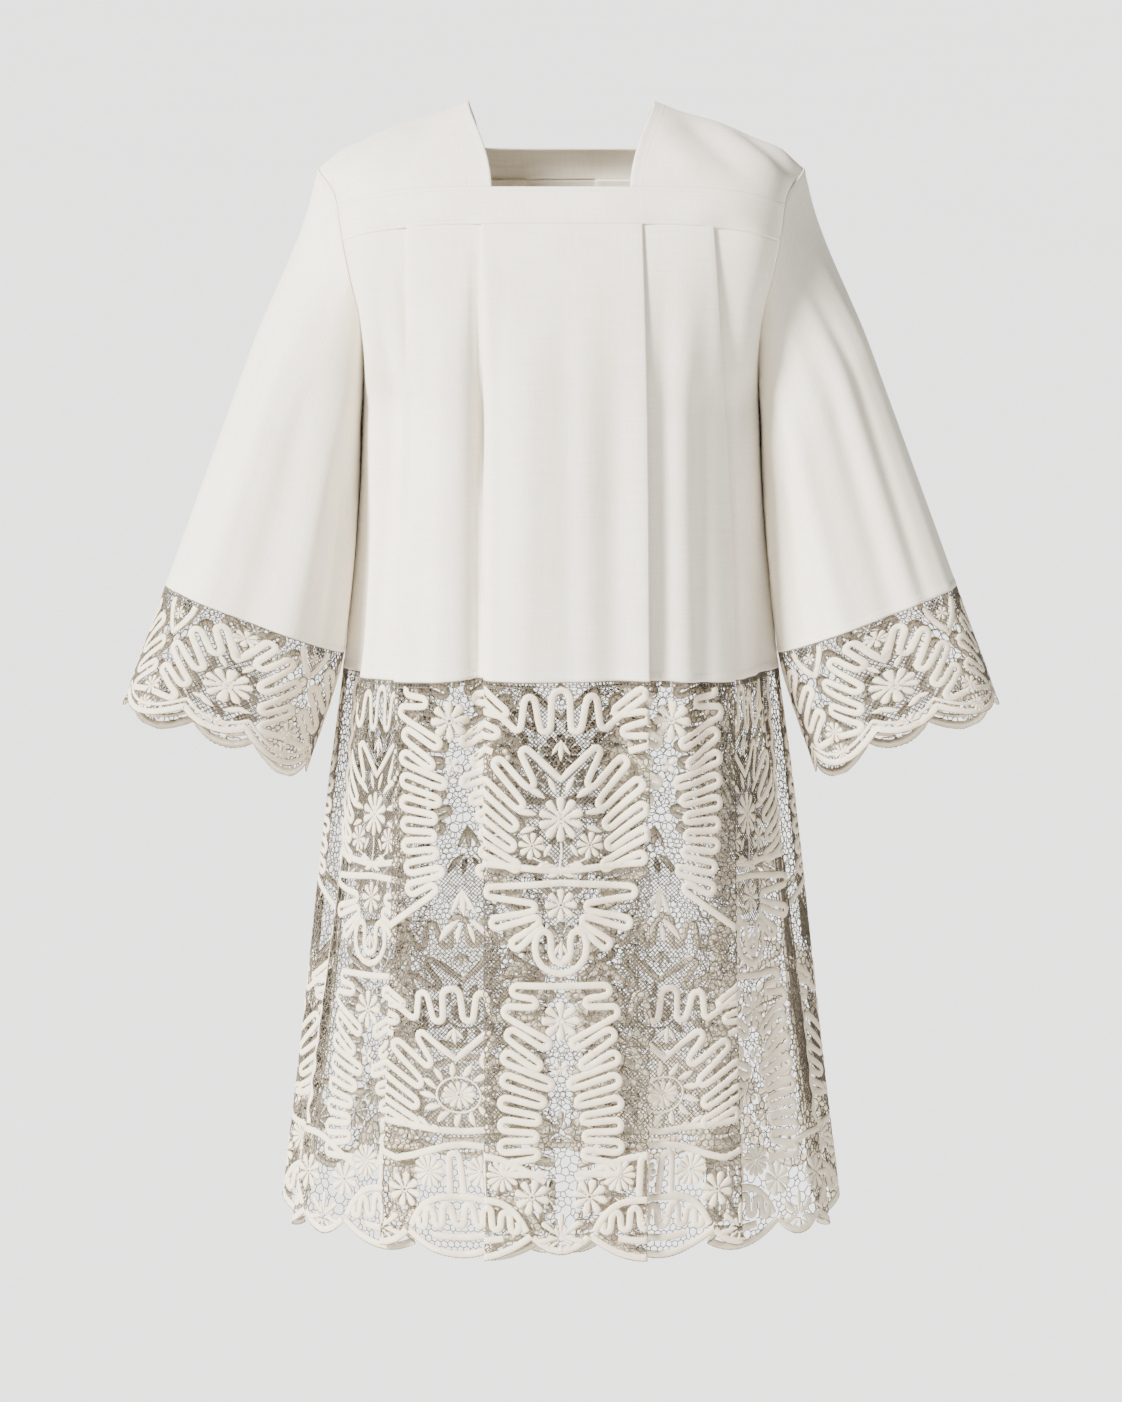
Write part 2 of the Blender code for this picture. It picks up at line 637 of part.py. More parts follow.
def hem_columns(front):
    """Flat places of the columns where they reach the scalloped edge."""
    level = skirt_columns(LACE_DEPTH - WIDE_DROP / 2, front)
    reached = []
    for number, x in enumerate(level):
        reached.append(skirt_columns(round(float(skirt_hem(x / REPEAT)), 4), front)[number])
    return reached


def add_lace_skirt(name, front):
    """The deep lace below the body: a net of columns, a scalloped hem and large holes."""
    rows = [skirt_columns(down, front) for down in LACE_ROWS]
    columns = hem_columns(front)
    scallops = hem_places(columns[0] / REPEAT, columns[-1] / REPEAT, NARROW_SCALLOP / REPEAT)
    scallops = [place * REPEAT for place in scallops]
    scallops = [x for x in scallops if min(abs(x - column) for column in columns) > 0.0022]
    hem_x = sorted([*columns, *scallops])
    hem = [(x, float(skirt_hem(x / REPEAT))) for x in hem_x]
    right_edge = [(row[0], down) for row, down in zip(rows, LACE_ROWS)]
    left_edge = [(row[-1], down) for row, down in zip(rows, LACE_ROWS)]
    top = [(x, 0.0) for x in rows[0][1:-1]]
    outline = right_edge + hem + left_edge[::-1] + top[::-1]
    inner = [(x, down) for row, down in zip(rows[1:], LACE_ROWS[1:]) for x in row[1:-1]]
    count = len(rows[0]) - 2
    first = len(outline)
    edges = []
    for column in range(count):
        chain = [first - 1 - column]
        chain += [first + row * count + column for row in range(len(rows) - 1)]
        chain += [len(right_edge) + hem_x.index(columns[column + 1])]
        edges += list(zip(chain[:-1], chain[1:]))
    holes = [hole_outline(x, y, HOLE_RADIUS) for x, y in skirt_holes(rows)]
    inner, edges = without_covered(outline, inner, edges, holes)
    flat, triangles = cut_sheet(outline, inner, edges, holes)
    surface = lambda x, y: skirt_point(x, y, front)
    points = np.array([surface(x, y) for x, y in flat])
    add_wall(name, points, sheet_normals(flat, surface, FLAT_STEP, FLAT_STEP), triangles, LACE, 0.9)


def skirt_holes(rows):
    """Centres of the skirt's large holes: columns between the medallions of both tiers."""
    centres = []
    half = MOTIF_SPACING / 2
    for tier, top in ((1, UPPER_GROUND), (0, LOWER_GROUND)):
        for number in range(-3, 4):
            if number % 2 == tier:
                middle = number * half * REPEAT
                centres += ground_holes(middle, top, GROUND_ROWS, FLOWER_ROWS)
    turn_columns = [2, 3, 4, 5, 7, 8, 9, 10, 15, 16, 17, 18, 20, 21, 22, 23]
    kept = []
    middle = len(rows[0]) // 2
    for x, y in centres:
        below = [np.interp(y, LACE_ROWS, [row[middle + side * c] for row in rows])
                 for c in turn_columns for side in (-1, 1)]
        clear_of_turns = min(abs(x - place) for place in below) > HOLE_RADIUS + 0.0015
        if clear_of_turns and abs(x) < QUARTER_REPEATS * REPEAT - HOLE_RADIUS - 0.003:
            kept.append((x, y))
    return kept


def without_covered(outline, inner, edges, holes):
    """Drops the inner points that a hole covers or nearly touches, and the edges they leave."""
    centres = np.array([np.mean(hole, axis=0) for hole in holes])
    clear = HOLE_RADIUS + 0.0008
    points = [*outline, *inner]
    covered = [bool(np.any(np.hypot(*(centres - np.array(p)).T) < clear)) for p in inner]
    keep = [True] * len(outline) + [not hidden for hidden in covered]
    number = np.cumsum(keep) - 1
    kept_points = [p for p, hidden in zip(inner, covered) if not hidden]
    kept_edges = []
    for a, b in edges:
        if keep[a] and keep[b] and not crossed(points[a], points[b], centres, clear):
            kept_edges.append((int(number[a]), int(number[b])))
    return kept_points, kept_edges


def crossed(start, end, centres, clear):
    """True if a straight edge passes over a hole."""
    start, end = np.array(start), np.array(end)
    along = np.clip(((centres - start) @ (end - start)) / np.sum((end - start) ** 2), 0.0, 1.0)
    gaps = np.linalg.norm(start + along[:, None] * (end - start) - centres, axis=1)
    return bool(np.any(gaps < clear))


# ---- cuffs -----------------------------------------------------------------------------

CUFF_LENGTH = 0.50  # flat length of a cuff all round
CUFF_UNIT = 0.415  # metres along the sleeve for one unit of its t
CUFF_ROWS = (0.0, 0.045, 0.085)


def cuff_hem(share):
    """The sleeve's t at the cuff's hem, a share of the way round."""
    drop = scallop_drop(share * CUFF_REPEATS, CUFF_NARROW_SHARE, CUFF_NARROW_DROP, CUFF_WIDE_DROP)
    return CUFF_END - CUFF_WIDE_DROP + drop


def add_cuff(name, right, front):
    """Half of a lace cuff: the front half or the back half of the tube."""
    edge = SEAM_GAP / 2 / CUFF_LENGTH
    first, last = (edge, 0.5 - edge) if front else (0.5 + edge, 1.0 - edge)
    columns = np.linspace(first, last, 11)
    flat_x = columns * CUFF_LENGTH
    places = hem_places(first * CUFF_REPEATS, last * CUFF_REPEATS, CUFF_NARROW_SHARE)
    hem_x = sorted([flat_x[0], flat_x[-1], *(p / CUFF_REPEATS * CUFF_LENGTH for p in places)])
    hem = [(x, float(cuff_hem(x / CUFF_LENGTH) - CUFF_TOP) * CUFF_UNIT) for x in hem_x]
    right_edge = [(flat_x[0], down) for down in CUFF_ROWS]
    left_edge = [(flat_x[-1], down) for down in CUFF_ROWS]
    top = [(x, 0.0) for x in flat_x[1:-1]]
    outline = right_edge + hem + left_edge[::-1] + top[::-1]
    inner = [(x, down) for down in CUFF_ROWS[1:] for x in flat_x[1:-1]]
    holes = [hole_outline(x, y, HOLE_RADIUS) for x, y in cuff_holes(first, last)]
    inner, edges = without_covered(outline, inner, [], holes)
    flat, triangles = cut_sheet(outline, inner, edges, holes)
    surface = lambda x, y: sleeve_point(CUFF_TOP + 0.0002 + y / CUFF_UNIT, x / CUFF_LENGTH, np.zeros(3), right)
    points = np.array([surface(x, y) for x, y in flat])
    add_wall(name, points, sheet_normals(flat, surface, FLAT_STEP, FLAT_STEP), triangles, LACE, 0.9)


def cuff_holes(first, last):
    """Centres of a cuff's large holes, in short columns between its motifs."""
    centres = []
    for number in range(CUFF_REPEATS):
        middle = (number + 0.5) / CUFF_REPEATS * CUFF_LENGTH
        for x, y in ground_holes(middle, CUFF_GROUND, CUFF_GROUND_ROWS, ()):
            if first * CUFF_LENGTH + 0.008 < x < last * CUFF_LENGTH - 0.008:
                centres.append((x, y))
    return centres


# ---- the garment -----------------------------------------------------------------------


def clear_scene():
    for piece in list(bpy.data.objects):
        bpy.data.objects.remove(piece, do_unlink=True)


def build():
    clear_scene()
    add_band("chest_band", FRONT_BAND_TOP, FRONT_SEAM, FRONT_NECK_CORNER, True)
    add_band("back_yoke", BACK_BAND_TOP, BACK_SEAM, BACK_NECK_CORNER, False)
    add_body("body_front", FRONT_SEAM, True)
    add_body("body_back", BACK_SEAM, False)
    for side, right in (("right", True), ("left", False)):
        add_shoulder(f"shoulder_{side}", right)
        add_sleeve(f"sleeve_{side}", right)
        add_cuff(f"cuff_{side}_front", right, True)
        add_cuff(f"cuff_{side}_back", right, False)
    add_lace_skirt("lace_skirt_front", True)
    add_lace_skirt("lace_skirt_back", False)


build()
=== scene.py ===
import json
from math import pi, sin, cos, radians

import bpy
import numpy as np
from mathutils import Vector
from mathutils.geometry import delaunay_2d_cdt
from mathutils.kdtree import KDTree
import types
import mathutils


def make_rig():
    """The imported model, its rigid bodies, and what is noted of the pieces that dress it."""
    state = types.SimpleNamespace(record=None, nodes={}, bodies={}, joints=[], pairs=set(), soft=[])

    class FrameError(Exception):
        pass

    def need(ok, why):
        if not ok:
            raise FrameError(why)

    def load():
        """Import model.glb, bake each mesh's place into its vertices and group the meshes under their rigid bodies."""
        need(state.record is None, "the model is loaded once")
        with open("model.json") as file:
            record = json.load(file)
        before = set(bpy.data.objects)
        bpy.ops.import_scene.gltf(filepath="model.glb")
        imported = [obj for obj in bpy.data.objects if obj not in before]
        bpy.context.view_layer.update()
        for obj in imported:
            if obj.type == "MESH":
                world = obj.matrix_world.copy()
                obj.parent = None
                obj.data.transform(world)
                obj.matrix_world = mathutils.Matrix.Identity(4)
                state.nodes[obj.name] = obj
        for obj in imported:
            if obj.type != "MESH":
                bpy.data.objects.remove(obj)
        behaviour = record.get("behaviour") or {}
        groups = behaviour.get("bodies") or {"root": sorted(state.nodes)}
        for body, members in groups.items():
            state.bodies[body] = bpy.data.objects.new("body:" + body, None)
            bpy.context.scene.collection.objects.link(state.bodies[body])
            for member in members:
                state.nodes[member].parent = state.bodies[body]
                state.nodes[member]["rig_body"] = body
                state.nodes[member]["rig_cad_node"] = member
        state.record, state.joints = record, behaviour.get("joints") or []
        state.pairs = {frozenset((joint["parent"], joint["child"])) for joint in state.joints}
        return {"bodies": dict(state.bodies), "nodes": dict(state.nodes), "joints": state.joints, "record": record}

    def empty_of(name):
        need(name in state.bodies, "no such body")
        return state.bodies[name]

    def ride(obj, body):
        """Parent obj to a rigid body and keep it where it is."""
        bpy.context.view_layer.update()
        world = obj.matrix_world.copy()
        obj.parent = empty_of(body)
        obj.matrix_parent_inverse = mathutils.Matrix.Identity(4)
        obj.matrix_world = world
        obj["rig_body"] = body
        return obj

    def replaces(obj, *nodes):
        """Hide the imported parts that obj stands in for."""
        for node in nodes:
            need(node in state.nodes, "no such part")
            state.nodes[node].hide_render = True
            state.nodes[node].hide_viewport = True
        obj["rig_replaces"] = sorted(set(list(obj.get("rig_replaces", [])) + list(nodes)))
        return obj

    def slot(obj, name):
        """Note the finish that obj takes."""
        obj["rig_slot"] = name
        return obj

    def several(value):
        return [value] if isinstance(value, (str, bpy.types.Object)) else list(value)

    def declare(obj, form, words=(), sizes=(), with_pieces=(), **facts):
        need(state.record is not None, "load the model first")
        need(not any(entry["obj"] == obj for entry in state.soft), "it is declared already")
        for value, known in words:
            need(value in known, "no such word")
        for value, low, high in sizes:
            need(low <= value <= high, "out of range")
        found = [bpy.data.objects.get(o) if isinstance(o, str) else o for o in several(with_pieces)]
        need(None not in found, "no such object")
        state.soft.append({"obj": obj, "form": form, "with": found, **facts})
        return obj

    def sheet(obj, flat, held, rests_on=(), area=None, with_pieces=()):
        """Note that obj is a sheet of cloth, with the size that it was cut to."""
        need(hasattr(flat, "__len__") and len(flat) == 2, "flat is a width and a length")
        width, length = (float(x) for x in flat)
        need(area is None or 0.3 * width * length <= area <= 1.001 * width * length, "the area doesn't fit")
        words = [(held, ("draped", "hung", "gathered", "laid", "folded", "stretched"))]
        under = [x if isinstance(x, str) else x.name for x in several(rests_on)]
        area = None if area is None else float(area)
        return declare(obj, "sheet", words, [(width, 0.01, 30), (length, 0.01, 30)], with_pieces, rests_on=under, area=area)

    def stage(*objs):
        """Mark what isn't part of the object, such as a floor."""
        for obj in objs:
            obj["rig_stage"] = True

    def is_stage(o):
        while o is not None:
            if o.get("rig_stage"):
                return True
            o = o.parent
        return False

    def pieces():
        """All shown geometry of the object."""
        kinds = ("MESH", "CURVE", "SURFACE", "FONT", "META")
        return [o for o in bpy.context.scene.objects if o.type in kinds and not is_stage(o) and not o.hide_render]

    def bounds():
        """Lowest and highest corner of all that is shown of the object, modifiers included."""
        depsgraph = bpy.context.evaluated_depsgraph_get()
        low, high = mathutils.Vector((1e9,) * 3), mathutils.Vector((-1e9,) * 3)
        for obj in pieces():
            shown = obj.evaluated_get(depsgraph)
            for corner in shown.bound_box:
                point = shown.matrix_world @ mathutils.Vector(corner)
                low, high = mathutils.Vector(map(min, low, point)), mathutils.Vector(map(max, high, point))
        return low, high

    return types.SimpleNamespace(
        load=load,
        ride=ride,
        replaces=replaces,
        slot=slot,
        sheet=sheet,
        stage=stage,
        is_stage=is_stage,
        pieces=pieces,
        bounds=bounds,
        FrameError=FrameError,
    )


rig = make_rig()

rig.load()
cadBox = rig.bounds()
rng = np.random.default_rng(11)

# How the cloth hangs, as in the solids: metres, x to the wearer's left, y to the back. Each
# table gives its columns at the heights z, or at places t along the sleeve.
bodyTable = dict(
    z=[-0.05, -0.0715, -0.104, -0.145, -0.19, -0.24, -0.285, -0.35,
       -0.469, -0.54, -0.64, -0.74, -0.82, -0.91, -1.076],
    halfWidth=[0.212, 0.2088, 0.2028, 0.1952, 0.1868, 0.1838, 0.187, 0.1895,
               0.201, 0.2095, 0.223, 0.2345, 0.243, 0.253, 0.2735],
    droop=[0.029, 0.02, 0.021, 0.016, 0.009, 0.003] + [0.0] * 9,
    frontEnd=[0.036, 0.048, 0.066, 0.074, 0.069, 0.047] + [0.0] * 9,
    frontMid=[0.097, 0.114, 0.132, 0.144, 0.151, 0.155, 0.157, 0.159,
              0.162, 0.165, 0.17, 0.175, 0.181, 0.188, 0.201],
    backEnd=[0.046, 0.058, 0.068, 0.073, 0.069, 0.047] + [0.0] * 9,
    backMid=[0.086, 0.104, 0.117, 0.125, 0.13, 0.133, 0.135, 0.137,
             0.142, 0.147, 0.153, 0.16, 0.167, 0.175, 0.191],
)
ridgeTable = dict(
    x=[0.087, 0.13, 0.1784, 0.2039, 0.2275],
    z=[0.0, -0.0148, -0.0316, -0.044, -0.0625],
)
tucks = dict(
    boxTuck=[0.04, 0.045, 0.05, 0.06, 0.07], outerTuck=[0.026, 0.033, 0.04, 0.038, 0.036],
)
backBox = [0.074, 0.076, 0.077, 0.0775, 0.078]
backOuter = [0.14, 0.156, 0.164, 0.169, 0.177]
pleatTables = {
    True: dict(
        tucks, z=[-0.104, -0.31, -0.526, -0.8, -1.076],
        rightBox=[0.0731, 0.0732, 0.073, 0.0726, 0.0718],
        rightOuter=[0.1428, 0.1522, 0.1612, 0.1661, 0.1766],
        leftBox=[0.0745, 0.0806, 0.0827, 0.084, 0.0812],
        leftOuter=[0.1415, 0.1583, 0.1686, 0.171, 0.1776],
    ),
    False: dict(
        tucks, z=[-0.082, -0.31, -0.526, -0.8, -1.076], rightBox=backBox, leftBox=backBox,
        rightOuter=backOuter, leftOuter=backOuter,
    ),
}
foldTable = dict(
    z=[-0.082, -0.285, -0.526, -0.8, -1.076],
    turnRadius=[0.0007, 0.0014, 0.0019, 0.0022, 0.0025],
    hollow=[0.0, 0.0, 0.014, 0.02, 0.022],
    sideHollow=[0.0, 0.0, 0.004, 0.008, 0.01],
)
sleeveTable = dict(
    t=[0.0, 0.15, 0.5, 1.0, 1.31],
    outerX=[0.2285, 0.251, 0.3015, 0.3735, 0.4174],
    outerZ=[-0.064, -0.124, -0.26, -0.455, -0.5752],
    innerX=[0.188, 0.1875, 0.1922, 0.205, 0.2437],
    innerZ=[-0.285, -0.327, -0.405, -0.519, -0.6402],
    midY=[0.0, -0.004, -0.014, -0.03, -0.04],
    halfDepth=[0.075, 0.079, 0.075, 0.069, 0.07],
    lift=[0.0, 0.01, 0.04, 0.09, 0.3],
)
hang = dict(
    frontBandTop=-0.0715, frontSeam=-0.1040, backBandTop=-0.0500, backSeam=-0.0820,
    underarm=-0.2850, laceTop=-0.5260, squareness=2.6, droopPower=5, pleatFade=0.62,
    hollowFromSide=0.060, hollowReach=0.034, sideHollowReach=0.026, seamFade=0.03, sideFade=0.02,
    frontNeck=0.0645, backNeck=0.0780, ridgeFall=0.22, sleeveSquareness=2.3, sleeveBlend=0.42,
    sleeveOff=0.0014, underarmOff=0.0018, seamGap=0.0003, sideGap=0.0005, creaseGain=1.4,
    creaseFade=0.08,
)


def curveOf(table, column, at, key="z"):
    # a column as a smooth curve with no overshoot
    order = np.argsort(table[key])
    x, y = np.array(table[key])[order], np.array(table[column])[order]
    step = np.diff(x)
    slope = np.diff(y) / step
    tangent = np.zeros(len(x))
    tangent[0], tangent[-1] = slope[0], slope[-1]
    same = slope[:-1] * slope[1:] > 0
    mean = 2 * slope[:-1] * slope[1:] / np.where(same, slope[:-1] + slope[1:], 1.0)
    tangent[1:-1] = np.where(same, mean, 0.0)
    at = np.clip(np.asarray(at, float), x[0], x[-1])
    i = np.clip(np.searchsorted(x, at) - 1, 0, len(step) - 1)
    t = (at - x[i]) / step[i]
    rise = y[i] * (1 + 2 * t) * (1 - t) ** 2 + y[i + 1] * t * t * (3 - 2 * t)
    return rise + step[i] * t * (1 - t) * (tangent[i] * (1 - t) - tangent[i + 1] * t)


def fade(t):
    t = np.clip(t, 0.0, 1.0)
    return t * t * (3 - 2 * t)


def normalised(vectors):
    return vectors / np.linalg.norm(vectors, axis=-1, keepdims=True)


def outlineAt(z, front, samples=260):
    # the body's outline over one quarter: length, x, y, outward normal, droop
    halfWidth = curveOf(bodyTable, "halfWidth", z)
    end = curveOf(bodyTable, "frontEnd" if front else "backEnd", z)
    middle = curveOf(bodyTable, "frontMid" if front else "backMid", z)
    angle = np.linspace(0.0, pi / 2, samples)
    power = 2 / hang["squareness"]
    x = halfWidth * np.sin(angle) ** power
    y = end + (middle - end) * np.maximum(np.cos(angle), 0.0) ** power
    length = np.concatenate([[0.0], np.cumsum(np.hypot(np.diff(x), np.diff(y)))])
    even = np.linspace(0.0, length[-1], samples)
    x, y = np.interp(even, length, x), np.interp(even, length, y)
    dx, dy = np.gradient(x, even), np.gradient(y, even)
    size = np.hypot(dx, dy)
    droop = curveOf(bodyTable, "droop", z) * (x / halfWidth) ** hang["droopPower"]
    return even, x, y, dy / size, -dx / size, droop


# Soft creases that run down the cloth, in metres: where across the front or the back each one
# starts and ends, its width and depth, and the heights where it starts and has faded.
creases = {
    True: [
        (0.049, 0.054, 0.021, -0.0085, -0.12, -0.8), (0.002, 0.01, 0.014, -0.0028, -0.12, -0.6),
        (-0.058, -0.06, 0.009, -0.003, -0.12, -0.55), (-0.03, -0.036, 0.014, 0.0026, -0.15, -0.7),
        (-0.0768, -0.08, 0.0055, -0.0062, -0.104, -0.36),
        (-0.077, -0.082, 0.0105, -0.0165, -0.145, -0.64),
        (-0.147, -0.156, 0.0065, -0.004, -0.108, -0.42),
        (-0.112, -0.122, 0.013, 0.0036, -0.115, -0.7), (0.095, 0.1, 0.009, -0.004, -0.108, -0.6),
        (0.117, 0.122, 0.01, 0.003, -0.115, -0.66), (0.138, 0.144, 0.01, -0.0032, -0.12, -0.7),
        (-0.172, -0.205, 0.012, -0.0065, -0.12, -0.5),
        (-0.196, -0.232, 0.012, 0.0045, -0.13, -0.7), (0.178, 0.2, 0.013, 0.0055, -0.13, -0.52),
        (0.205, 0.232, 0.014, -0.006, -0.2, -1), (-0.225, -0.268, 0.016, -0.005, -0.3, -1.1),
        (-0.02, -0.026, 0.018, 0.0026, -0.45, -1.2), (-0.112, -0.126, 0.016, 0.0044, -0.6, -1.2),
        (0.112, 0.13, 0.016, -0.0036, -0.58, -1.2),
    ],
    False: [
        (-0.03, -0.036, 0.022, -0.0062, -0.1, -0.76), (0.012, 0.016, 0.015, 0.0028, -0.12, -0.8),
        (0.054, 0.058, 0.01, -0.003, -0.12, -0.6), (0.087, 0.092, 0.01, -0.008, -0.09, -0.66),
        (0.114, 0.124, 0.013, 0.0038, -0.1, -0.7), (-0.092, -0.098, 0.01, 0.003, -0.09, -0.62),
        (-0.118, -0.128, 0.011, -0.0052, -0.1, -0.72),
        (-0.176, -0.21, 0.013, 0.0055, -0.13, -0.5), (0.182, 0.214, 0.013, -0.006, -0.15, -0.6),
        (-0.21, -0.258, 0.015, -0.006, -0.28, -1.1), (0.218, 0.262, 0.016, 0.0052, -0.33, -1.1),
        (-0.03, -0.04, 0.02, 0.003, -0.55, -1.2), (0.116, 0.13, 0.017, 0.004, -0.62, -1.2),
    ],
}


def creaseStrength(down, comes, ends, goes):
    # how strong a crease is at a share of its way down
    return fade(down / comes) * fade((ends - down) / goes)


def creaseAt(along, z, front):
    # how far the creases push the cloth out, at places along one row
    push = np.zeros_like(along)
    for top, foot, wide, deep, fromZ, toZ in creases[front]:
        down = (fromZ - z) / (fromZ - toZ)
        strength = creaseStrength(down, comes=0.35, ends=1.15, goes=0.45)
        middle = top + (foot - top) * np.clip(down, 0, 1)
        push += deep * strength * np.exp(-(((along - middle) / wide) ** 2))
    return push


# steps along each stretch of a row: flat cloth and turns take turns
laceSteps = (18, 12, 14, 12, 26, 12, 10, 12, 64)
cottonSteps = (20, 6, 5, 5, 22, 6, 4, 5, 32)


def rowOf(z, front, right, sections):
    # one row of a quarter: lengths along the cloth, and the points at the same steps on every row
    lengths, x, y, normalX, normalY, droop = outlineAt(z, front)
    table, side = pleatTables[front], "right" if right else "left"
    radius = float(curveOf(foldTable, "turnRadius", z))
    stretches, depth, last = [], 0.0, 0.0
    for number, pleat in enumerate(("Box", "Outer")):
        edge = float(np.interp(curveOf(table, side + pleat, z), x, lengths))
        tuck = float(curveOf(table, pleat.lower() + "Tuck", z))
        for turn, (centre, way) in enumerate(((edge - radius, 1), (edge - tuck + radius, -1))):
            steps, bends = sections[number * 4 + turn * 2:][:2]
            bend = np.linspace(0.0, pi, bends + 1)
            run = np.linspace(last, centre, steps + 1)[:-1]
            stretches.append((run, np.full(steps, depth)))
            around = centre + way * radius * np.sin(bend[:-1])
            stretches.append((around, depth + radius * (1 - np.cos(bend[:-1]))))
            depth += 2 * radius
            last = centre
    whole = lengths[-1]
    rest = np.linspace(last, whole, sections[-1] + 1)
    back = depth * (1 - fade((rest - edge) / (hang["pleatFade"] * (whole - edge))))
    fromHollow = np.abs(rest - (whole - hang["hollowFromSide"])) / hang["hollowReach"]
    hollow = curveOf(foldTable, "hollow", z) * (1 - fade(fromHollow))
    fromSide = (whole - rest) / hang["sideHollowReach"]
    sideHollow = curveOf(foldTable, "sideHollow", z) * (1 - fade(fromSide))
    stretches.append((rest, back + hollow + sideHollow))
    along = np.concatenate([run for run, inward in stretches])
    inward = np.concatenate([inward for run, inward in stretches])
    u = np.concatenate([[0.0], np.cumsum(np.hypot(np.diff(along), np.diff(inward)))])
    signed = -along if right else along
    seam = hang["frontSeam"] if front else hang["backSeam"]
    fromSeam = fade((seam - z) / hang["seamFade"])
    toSide = fade((whole - along) / hang["sideFade"])
    inward = inward - creaseAt(signed, z, front) * fromSeam * toSide
    px = np.interp(along, lengths, x) + inward * np.interp(along, lengths, normalX)
    py = np.interp(along, lengths, y) + inward * np.interp(along, lengths, normalY)
    pz = z - np.interp(along, lengths, droop)
    lastTurn = u[sum(sections[:8])]
    return u, np.column_stack([-px if right else px, -py if front else py, pz]), lastTurn


def gridNormals(points):
    return normalised(np.cross(np.gradient(points, axis=0), np.gradient(points, axis=1)))


def normalsOf(points, toward):
    # unit normals of a grid of points; most of them lean the way of toward
    normals = gridNormals(points)
    return normals if np.median(np.sum(normals * toward, axis=2)) > 0 else -normals


def sideDrop(x, z):
    # the body's hem sinks a little toward the sides, and the top of the lace with it
    drop = dict(most=0.009, fromX=0.06, overX=0.13, above=0.22, below=0.46)
    level = hang["laceTop"]
    above = fade((level + drop["above"] - z) / drop["above"])
    below = fade((z - level + drop["below"]) / drop["below"])
    toSide = fade((np.abs(x) - drop["fromX"]) / drop["overX"])
    return drop["most"] * toSide * np.where(z > level, above, below)


def pleatedNet(heights, front, sections):
    # the whole front or back: lengths from the middle, points, normals, and the last turns
    halves = []
    for right in (True, False):
        rows = [rowOf(z, front, right, sections) for z in heights]
        u, points, last = (np.array([row[i] for row in rows]) for i in range(3))
        points[..., 2] -= sideDrop(points[..., 0], points[..., 2])
        halves.append((u, points, last))
    (rightU, rightPoints, rightLast), (leftU, leftPoints, leftLast) = halves
    u = np.concatenate([-rightU[:, ::-1], leftU[:, 1:]], axis=1)
    points = np.concatenate([rightPoints[:, ::-1], leftPoints[:, 1:]], axis=1)
    middle = len(rightU[0]) - 1
    normals = gridNormals(points)
    if normals[len(heights) // 2, middle, 1] * (-1 if front else 1) < 0:
        normals = -normals
    return dict(u=u, points=points, normals=normals, rightLast=rightLast, leftLast=leftLast,
                middle=middle)


def hexColour(code):
    # sRGB hex to linear
    parts = [int(code[i:i + 2], 16) / 255 for i in (0, 2, 4)]
    return (*[p / 12.92 if p <= 0.04045 else ((p + 0.055) / 1.055) ** 2.4 for p in parts], 1.0)


def addNode(tree, kind, inputs=None, **settings):
    made = tree.nodes.new(kind)
    for name, value in settings.items():
        setattr(made, name, value)
    for name, value in (inputs or {}).items():
        if isinstance(value, bpy.types.NodeSocket):
            tree.links.new(value, made.inputs[name])
        else:
            made.inputs[name].default_value = value
    return made


def firstOut(tree, kind, inputs=None, **settings):
    return addNode(tree, kind, inputs, **settings).outputs[0]


def growth(tree, kind, inputs=None, **settings):
    return firstOut(tree, "GeometryNode" + kind, inputs, **settings)


def newFinish(name):
    made = bpy.data.materials.new(name)
    made.use_nodes = True
    made.node_tree.nodes.clear()
    return made, made.node_tree


def sumOf(tree, first, second):
    return firstOut(tree, "ShaderNodeMath", {0: first, 1: second}, operation="ADD")


def noiseAt(tree, place, scale, detail, **settings):
    inputs = {"Vector": place, "Scale": scale, "Detail": detail}
    return addNode(tree, "ShaderNodeTexNoise", inputs, **settings).outputs["Fac"]


def weaveAt(tree, place, pitch):
    # threads both ways: 0.314 m is the wave texture's own pitch at scale 1
    inputs = {"Vector": place, "Scale": 0.314 / pitch}
    waves = [addNode(tree, "ShaderNodeTexWave", inputs, bands_direction=way) for way in "XY"]
    return sumOf(tree, *(wave.outputs["Fac"] for wave in waves))


def stretched(tree, value, low, high):
    inputs = {"Value": value, "From Min": low, "From Max": high}
    return firstOut(tree, "ShaderNodeMapRange", inputs)


def paint(tree, tone, look, surface, height=None):
    # shade and colour mixed by tone, over the relief of height
    inputs = {"Factor": tone, "A": hexColour(look["shade"]), "B": hexColour(look["colour"])}
    mixed = addNode(tree, "ShaderNodeMix", inputs, data_type="RGBA")
    surface["Base Color"] = mixed.outputs["Result"]
    if height is not None:
        inputs = {"Height": height, "Strength": look["relief"], "Distance": 0.0003}
        surface["Normal"] = addNode(tree, "ShaderNodeBump", inputs).outputs["Normal"]
    shader = addNode(tree, "ShaderNodeBsdfPrincipled", surface)
    addNode(tree, "ShaderNodeOutputMaterial", {"Surface": shader.outputs["BSDF"]})


